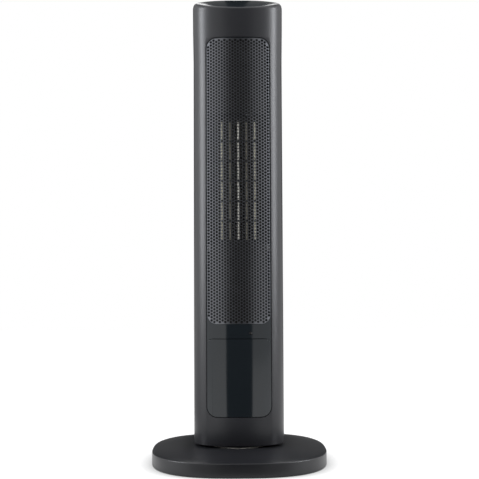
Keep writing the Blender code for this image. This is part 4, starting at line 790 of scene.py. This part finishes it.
def makeRearHousing():
    gap = column["gap"]
    housing = makeShell("rearHousing", 1)
    openWindow(housing, "intake", intake, gap, 1, rearFace)
    carve(housing, uprightPlate("gripHole", *grown(grip, gap), 0, deepBack))
    carve(housing, uprightPlate("switchHole", power["half"] + gap, power["height"] - power["tall"] - gap,
                                power["height"] + power["tall"] + gap, (0, 0), 0, deepBack))
    for x, z in screws["places"]:
        skin = rearFace(x)
        deep = screws["wellDepth"]
        hole = rod("screwWell", screws["wellRadius"], drill, (x, skin - deep + drill / 2, z))
        boss = rod("screwBoss", screws["wellRadius"] + screws["wall"], deep + screws["floor"] - screws["skin"],
                   (x, skin - (deep + screws["floor"] + screws["skin"]) / 2, z))
        carve(housing, boss, "UNION")
        carve(housing, hole)
    roundOpening(housing, grip, gap, rearFace)
    roundOpening(housing, intake, gap, rearFace, gap)
    finishPiece(housing, "bodyGraphite", "body_graphite", "tower", "rear_housing")


def makeScrews():
    heads = []
    shank = screws["shank"]
    profile = [(shank, 0), (shank, screws["dome"][0][1])]
    profile += [(screws["head"] * share, height) for share, height in screws["dome"]]
    for x, z in screws["places"]:
        head = turnedPiece("screwHead", 28, profile, "caps")
        for turn in (0, math.pi / 2):
            bar = added("crossBar", bpy.ops.mesh.primitive_cube_add, size=1, location=(0, 0, screws["crossHeight"]),
                        rotation=(0, 0, turn + screws["turn"] + screws["spread"] * x))
            bpy.ops.transform.resize(value=screws["cross"])
            carve(head, bar)
        head.rotation_euler = (-math.pi / 2, 0, 0)
        head.location = (x, rearFace(x) - screws["wellDepth"] - screws["gap"], z)
        settle(head)
        heads.append(head)
    finishPiece(joinAll(heads, "rearScrews"), "blackSteel", "steel", "tower")


def makeTopPanel():
    edge = column["shoulder"] + column["gap"]
    frontEdge = column["frontShoulder"] + column["gap"]
    last = column["panelEdge"][-1][0]
    places = [crownPlace(edge, frontEdge, column["panel"], share) for share in column["underRings"]]
    places += [crownPlace(edge + inward, frontEdge + inward, drop) for inward, drop in column["panelEdge"]]
    places += [crownPlace(edge + last, frontEdge + last, 0, share) for share in column["panelRings"]]
    panel = ringPiece("topPanel", column["points"], places, "cappedPole")
    finishPiece(panel, "glossPanel", "gloss_panel", "tower", "top_panel")


turntable = {"radius": 0.0455, "bottom": 0.0273, "rim": 0.0287, "boss": 0.0380, "top": 0.0304, "bore": 0.0099,
             "edge": ((0, 0.0005), (0.00015, 0.00015), (0.0005, 0)), "lowEdge": 0.0003}


def makeTurntable():
    rim, radius, boss, bore = turntable["rim"], turntable["radius"], turntable["boss"], turntable["bore"]
    low, top, ease = turntable["bottom"], turntable["top"], turntable["lowEdge"]
    profile = [(bore, low), (radius - ease, low), (radius, low + ease)]
    profile += [(radius - inward, rim - down) for inward, down in turntable["edge"]]
    profile += [(boss, rim), (boss, top), (bore, top), (bore, low)]
    table = turnedPiece("turntablePlate", 128, profile, "tube")
    finishPiece(table, "rockerPlastic", "black_plastic", "tower", "turntable")


makeFrontHousing()
makeRearHousing()
makeScrews()
makeTopPanel()
makeTurntable()
print("column made")


# front inset: frame, lower panel, receiver window, grille sheet

lower = {"half": 0.0503, "bottom": 0.0751, "top": 0.1956, "corner": 0.0157, "shoulderWidth": 0.0120,
         "shoulderDrop": 0.0068, "groove": 0.0008, "edge": 0.0008}
sheet = {"half": 0.0494, "bottom": 0.2192, "top": 0.6700, "corners": (0.0143, 0.0143), "setback": 0.0006,
         "thickness": 0.0008, "pitch": 0.00494, "hole": 0.00200, "margin": 0.0002, "sides": 12,
         "borderCuts": (172, 32)}
receiver = {"x": 0.0183, "z": 0.2047, "radius": 0.0022, "proud": 0.0001,  # the dome goes in and forward
            "dome": ((0, -0.0060), (0, -0.0003), (0.0002, -0.0001), (0.00044, 0.00005), (0.00132, 0.00015))}


def shoulderPlate(name, bottom, top, corner, front, back):
    plate = uprightPlate(name, lower["half"], bottom, top, (corner, lower["shoulderWidth"]), front, back)
    squeeze = lower["shoulderDrop"] / lower["shoulderWidth"]
    for vertex in plate.data.vertices:
        if vertex.co.z > top - lower["shoulderWidth"] - tiny:
            vertex.co.z = top - (top - vertex.co.z) * squeeze
    return plate


def finishInset(piece, node, width, segments):
    softenEdges(piece, width, segments)
    finishPiece(piece, "glossPanel", "gloss_panel", "tower", node)
    modify(piece, "WEIGHTED_NORMAL", keep_sharp=True, weight=100)


def makeFrame():
    front = inset["setback"]
    gap = column["gap"]
    low = lower["bottom"] - past
    surround = uprightPlate("grilleFrame", *grown(inset, 0), front, front + inset["thickness"])
    carve(surround, uprightPlate("sheetRoom", *grown(sheet, gap), *through))
    carve(surround, uprightPlate("panelRoom", lower["half"] + past, low,
                                 lower["top"] - lower["shoulderDrop"] + gap, (0, 0), *through))
    carve(surround, shoulderPlate("panelArch", low, lower["top"] + lower["groove"], 0, *through))
    splitColumns(surround, inset["half"], inset["columns"])
    wrapOn(surround, frontFace)
    carve(surround, rod("receiverHole", receiver["radius"] + gap, drill,
                        (receiver["x"], frontFace(receiver["x"]), receiver["z"])))
    finishInset(surround, "grille_frame", inset["edge"], 2)


def makeLowerPanel():
    panel = shoulderPlate("lowerPanel", lower["bottom"], lower["top"], lower["corner"], inset["setback"],
                          inset["setback"] + inset["thickness"])
    splitColumns(panel, lower["half"], inset["columns"])
    wrapOn(panel, frontFace)
    finishInset(panel, "lower_panel", lower["edge"], 3)


def makeReceiver():
    profile = [(receiver["radius"] - inward, out) for inward, out in receiver["dome"]]
    lens = turnedPiece("receiverLens", 32, profile, "cappedPole")
    lens.rotation_euler = standing
    lens.location = (receiver["x"], frontFace(receiver["x"]) + inset["setback"] + receiver["proud"], receiver["z"])
    finishPiece(lens, "windowLens", "receiver_lens", "tower", "receiver_lens")


def makeTile(name, width, height):  # one cell of the sheet: a rectangle with a round hole
    tile = stretched(name, bpy.ops.mesh.primitive_plane_add, (width, 1, height), size=1, rotation=standing)
    startEdit(tile, "EDGE")
    pickAll()
    bpy.ops.mesh.delete(type="ONLY_FACE")  # its outline gets as many edges as the hole has
    pick(tile, "edges", lambda edge: widthOf(edge) < tiny)
    bpy.ops.mesh.subdivide(number_cuts=3)
    pick(tile, "edges", lambda edge: widthOf(edge) > width / 2)
    bpy.ops.mesh.subdivide(number_cuts=1)
    bpy.ops.mesh.select_all(action="DESELECT")
    bpy.ops.mesh.primitive_circle_add(vertices=sheet["sides"], radius=sheet["hole"], rotation=standing)
    pickAll()
    bpy.ops.mesh.bridge_edge_loops()
    endEdit()
    return tile


def makeHoles():  # the staggered cells of the sheet whose holes fit in it
    pitch = sheet["pitch"]
    across = pitch * math.sin(math.radians(60))
    middle = (sheet["top"] + sheet["bottom"] + pitch) / 2  # half a pitch up, so that holes fill the corners
    rows = int((sheet["top"] - sheet["bottom"]) / pitch / 2) + 1
    columns = int(sheet["half"] / across) + 1
    holes = makeTile("grilleSheet", across, pitch)
    startEdit(holes)
    pickAll()
    bpy.ops.mesh.duplicate_move(TRANSFORM_OT_translate={"value": (across, 0, pitch / 2)})
    endEdit()
    repeat(holes, 2 * rows + 1, (0, 0, pitch))
    repeat(holes, columns + 1, (2 * across, 0, 0))
    holes.location = ((columns % 2 - columns) * across, 0, middle - rows * pitch)
    settle(holes)

    def outside(face):
        centre = face.calc_center_median()
        index = round(centre.x / across)
        level = middle + (pitch / 2 if index % 2 else 0)
        height = level + round((centre.z - level) / pitch) * pitch
        return outsideBy(grown(sheet, 0), index * across, height) + sheet["hole"] + sheet["margin"] > 0
    startEdit(holes, "FACE")
    pick(holes, "faces", outside)
    bpy.ops.mesh.delete(type="FACE")
    pickAll()
    bpy.ops.mesh.remove_doubles(threshold=tiny)
    endEdit()
    return holes


def makeBorder():  # the sheet's outline as edges only
    thick = sheet["thickness"]
    border = uprightPlate("sheetBorder", *grown(sheet, 0), 0, thick)
    startEdit(border, "FACE")
    pick(border, "faces", lambda face: abs(face.normal.y) < facing or face.calc_center_median().y > thick / 2)
    bpy.ops.mesh.delete(type="FACE")
    pickAll()
    bpy.ops.mesh.delete(type="ONLY_FACE")
    pick(border, "edges", lambda edge: edge.calc_length() > sheet["half"] and widthOf(edge) < tiny)
    bpy.ops.mesh.subdivide(number_cuts=sheet["borderCuts"][0])
    pick(border, "edges", lambda edge: edge.calc_length() > sheet["half"])
    bpy.ops.mesh.subdivide(number_cuts=sheet["borderCuts"][1])
    endEdit()
    return border


def makeSheet():
    whole = joinAll([makeHoles(), makeBorder()], "grilleSheet")
    side = 2 * sheet["hole"] * math.sin(math.pi / sheet["sides"])  # of a hole, which stays open
    startEdit(whole, "EDGE")
    pick(whole, "edges", lambda edge: len(edge.link_faces) == 0 or
         (len(edge.link_faces) == 1 and abs(edge.calc_length() - side) > 5 * tiny))
    bpy.ops.mesh.fill(use_beauty=True)
    pickAll()
    bpy.ops.mesh.normals_make_consistent(inside=False)
    endEdit()
    startEdit(whole, "FACE")
    pick(whole, "faces", lambda face: face.normal.y > 0)
    bpy.ops.mesh.flip_normals()
    endEdit()
    for vertex in whole.data.vertices:
        vertex.co.y = frontFace(vertex.co.x) + sheet["setback"]
    modify(whole, "SOLIDIFY", thickness=sheet["thickness"], offset=-1, use_even_offset=False)
    print("grille sheet triangles", sum(len(face.vertices) - 2 for face in whole.data.polygons))
    finishPiece(whole, "grilleSheet", "grille_sheet", "tower", "grille")


makeFrame()
makeLowerPanel()
makeReceiver()
makeSheet()
print("front inset made")


# back: intake cover with its screen, grip cup, switch

def makeIntakeCover():
    cover = panelPlate("intakeCover", intake, 0, -intake["thickness"], 0, rearFace)
    margin, width, count = intake["margin"], intake["slotWidth"], intake["slots"]
    pitch = 2 * (intake["half"] - margin) / count
    height = (intake["top"] - intake["bottom"] - margin) / intake["bays"]
    slots = []
    for row in range(intake["bays"]):
        low = intake["bottom"] + margin + height * row
        for index in range(count):
            slot = uprightPlate("slot", width / 2, low, low + height - margin, (width / 2 - 10 * tiny,) * 2,
                                past, deepBack)
            slot.location.x = (index - (count - 1) / 2) * pitch
            slots.append(slot)
    carve(cover, joinAll(slots, "slots"))
    softenEdges(cover, intake["edge"])
    finishPiece(cover, "bodyGraphite", "body_graphite", "intake_filter", "intake_filter")

    screen = panelPlate("dustScreen", intake, -intake["screenMargin"], *intake["screen"], rearFace)
    finishPiece(screen, "screenNet", "black_plastic", "intake_filter")


def makeGripCup():
    rear = column["rear"]
    cup = uprightPlate("gripCup", *grown(grip, 0), rear - grip["depth"], rear)
    sink(cup, lambda face: face.normal.y > facing, grip["wall"], y=grip["wall"] - grip["depth"])
    splitColumns(cup, grip["half"], grip["columns"])
    for vertex in cup.data.vertices:
        if vertex.co.y > rear - grip["wall"] / 2:
            vertex.co.y = rearFace(vertex.co.x)
    softenEdges(cup, grip["edge"], 3, sharpAngle)
    finishPiece(cup, "blackPlastic", "black_plastic", "tower", "grip_cup")


def makeSwitch():
    back = column["rear"]
    height, margin = power["height"], power["margin"]
    tall = power["tall"] + margin
    bezel = uprightPlate("switchBezel", power["half"] + margin, height - tall, height + tall,
                         (power["corner"],) * 2, back + column["gap"], back + power["flange"])
    sink(bezel, lambda face: face.normal.y < -facing, margin, y=-power["depth"])
    softenEdges(bezel, power["bezelRound"], 3)
    room = power["radius"] + power["room"]
    carve(bezel, uprightPlate("rockerRoom", power["rockerHalf"] + column["gap"], height - room, height + room,
                              (0, 0), back + power["flange"] - power["valley"] - room, back + past))
    finishPiece(bezel, "blackPlastic", "black_plastic", "tower", "switch_body")


def rockerPlace(x):
    radius = power["radius"]

    def place(angle):
        up = radius * math.cos(angle)
        depth = radius * math.sin(angle)
        if angle > 0:
            depth = power["valley"] + (power["edge"] - power["valley"]) * abs(up) / radius
        return x, depth, up
    return place


marks = {"share": 0.52, "lift": 0.00002, "bar": (0.0004, 0.00006, 0.0024), "ringRadius": 0.0011,
         "ringLine": 0.0002, "ringFlat": 0.2}


def makeRocker():
    half = power["rockerHalf"]
    rocker = ringPiece("powerRocker", 64, [rockerPlace(-half), rockerPlace(half)], "caps")
    softenEdges(rocker, power["rockerRound"], 2, sharpAngle)
    middle = (0, column["rear"] + power["flange"] - power["valley"], power["height"])
    tilted = Matrix.Translation(middle) @ Matrix.Rotation(math.radians(power["throw"] / 2), 4, "X")
    rocker.matrix_world = tilted
    finishPiece(rocker, "rockerPlastic", "gloss_black_plastic", "power_rocker", "power_rocker")

    rise = power["edge"] - power["valley"]
    slope = math.atan(rise / power["radius"])
    ring = stretched("offRing", bpy.ops.mesh.primitive_torus_add, (1, marks["ringFlat"], 1), major_segments=32,
                     minor_segments=4, major_radius=marks["ringRadius"], minor_radius=marks["ringLine"],
                     rotation=standing)
    bar = stretched("onBar", bpy.ops.mesh.primitive_cube_add, marks["bar"], size=1)
    for mark, side in ((ring, -1), (bar, 1)):
        at = (0, power["valley"] + rise * marks["share"] + marks["lift"], side * power["radius"] * marks["share"])
        mark.matrix_world = tilted @ Matrix.Translation(at) @ Matrix.Rotation(side * slope, 4, "X")
        settle(mark)
    finishPiece(joinAll([ring, bar], "rockerMarks"), "markWhite", "gloss_black_plastic", "power_rocker")


makeIntakeCover()
makeGripCup()
makeSwitch()
makeRocker()
print("back made")


# heating element seen through the grille

element = {"bottom": 0.3500, "top": 0.5401, "pitch": 0.0132, "tube": 0.0026, "count": 6, "gap": 0.0003,
           "front": -0.03047, "depth": 0.0130, "folds": 62, "thickness": 0.00025, "flight": 0.36, "crest": 0.14,
           "ease": 0.0002}


def makeFins():
    rise = (element["top"] - element["bottom"]) / element["folds"]
    width = element["pitch"] - element["tube"] - 2 * element["gap"] - 2 * element["ease"]
    flight = rise * element["flight"]
    for bay in range(element["count"]):
        fold = stretched(f"finStrip-{bay + 1}", bpy.ops.mesh.primitive_plane_add, (width, element["depth"], 1),
                         size=1)
        startEdit(fold, "EDGE")  # a flight up to the right, then a crest, a flight back and a crest
        pick(fold, "edges", lambda edge: edge.verts[0].co.x > 0 and edge.verts[1].co.x > 0)
        bpy.ops.transform.translate(value=(0, 0, flight))
        extrudeBy(z=rise * element["crest"])
        extrudeBy(-width, 0, flight)
        extrudeBy(z=rise * element["crest"])
        endEdit()
        repeat(fold, element["folds"], (0, 0, rise), use_merge_vertices=True, merge_threshold=tiny)
        modify(fold, "SOLIDIFY", thickness=element["thickness"], offset=0)
        fold.location = ((bay - (element["count"] - 1) / 2) * element["pitch"],
                         element["front"] + element["depth"] / 2 + element["ease"],
                         element["bottom"] + element["ease"])
        finishPiece(fold, "finAluminium", "element_aluminium", "tower", f"fin_strip_{bay + 1}")


makeFins()
print("element made")


# finishes of the solids that stay as they are

solidFinishes = {
    "blackPlastic": ["base_plate", "tower_plate", "tip_switch"],
    "innerPlastic": ["upper_baffle", "lower_baffle", "element_frame", "air_duct"],
    "wheelPlastic": ["blower_wheel"],
    "milkyNylon": ["pivot_post", "fixed_gear", "glide_ring", "drive_pinion", "tip_plunger"],
    "castIron": ["ballast_plate"],
    "brightSteel": ["pivot_nut", "clip_left", "clip_right", "oscillation_motor", "blower_motor",
                    "thermal_cutout"],
    "footRubber": ["motor_mount", "upper_bearing"],
    "boardGreen": ["control_board", "display_board", "main_board"],
    "tubeAluminium": ["heater_tube_1", "heater_tube_5"],
    # the third tube wears the painted highlight, the second and fourth tube the painted shade
    "tubeLitCopy": ["heater_tube_3"],
    "tubeShadedCopy": ["heater_tube_2", "heater_tube_4"],
}
for finishName, nodeNames in solidFinishes.items():
    for nodeName in nodeNames:
        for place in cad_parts[nodeName].material_slots:
            place.material = finishes[finishName]
print("solids finished")
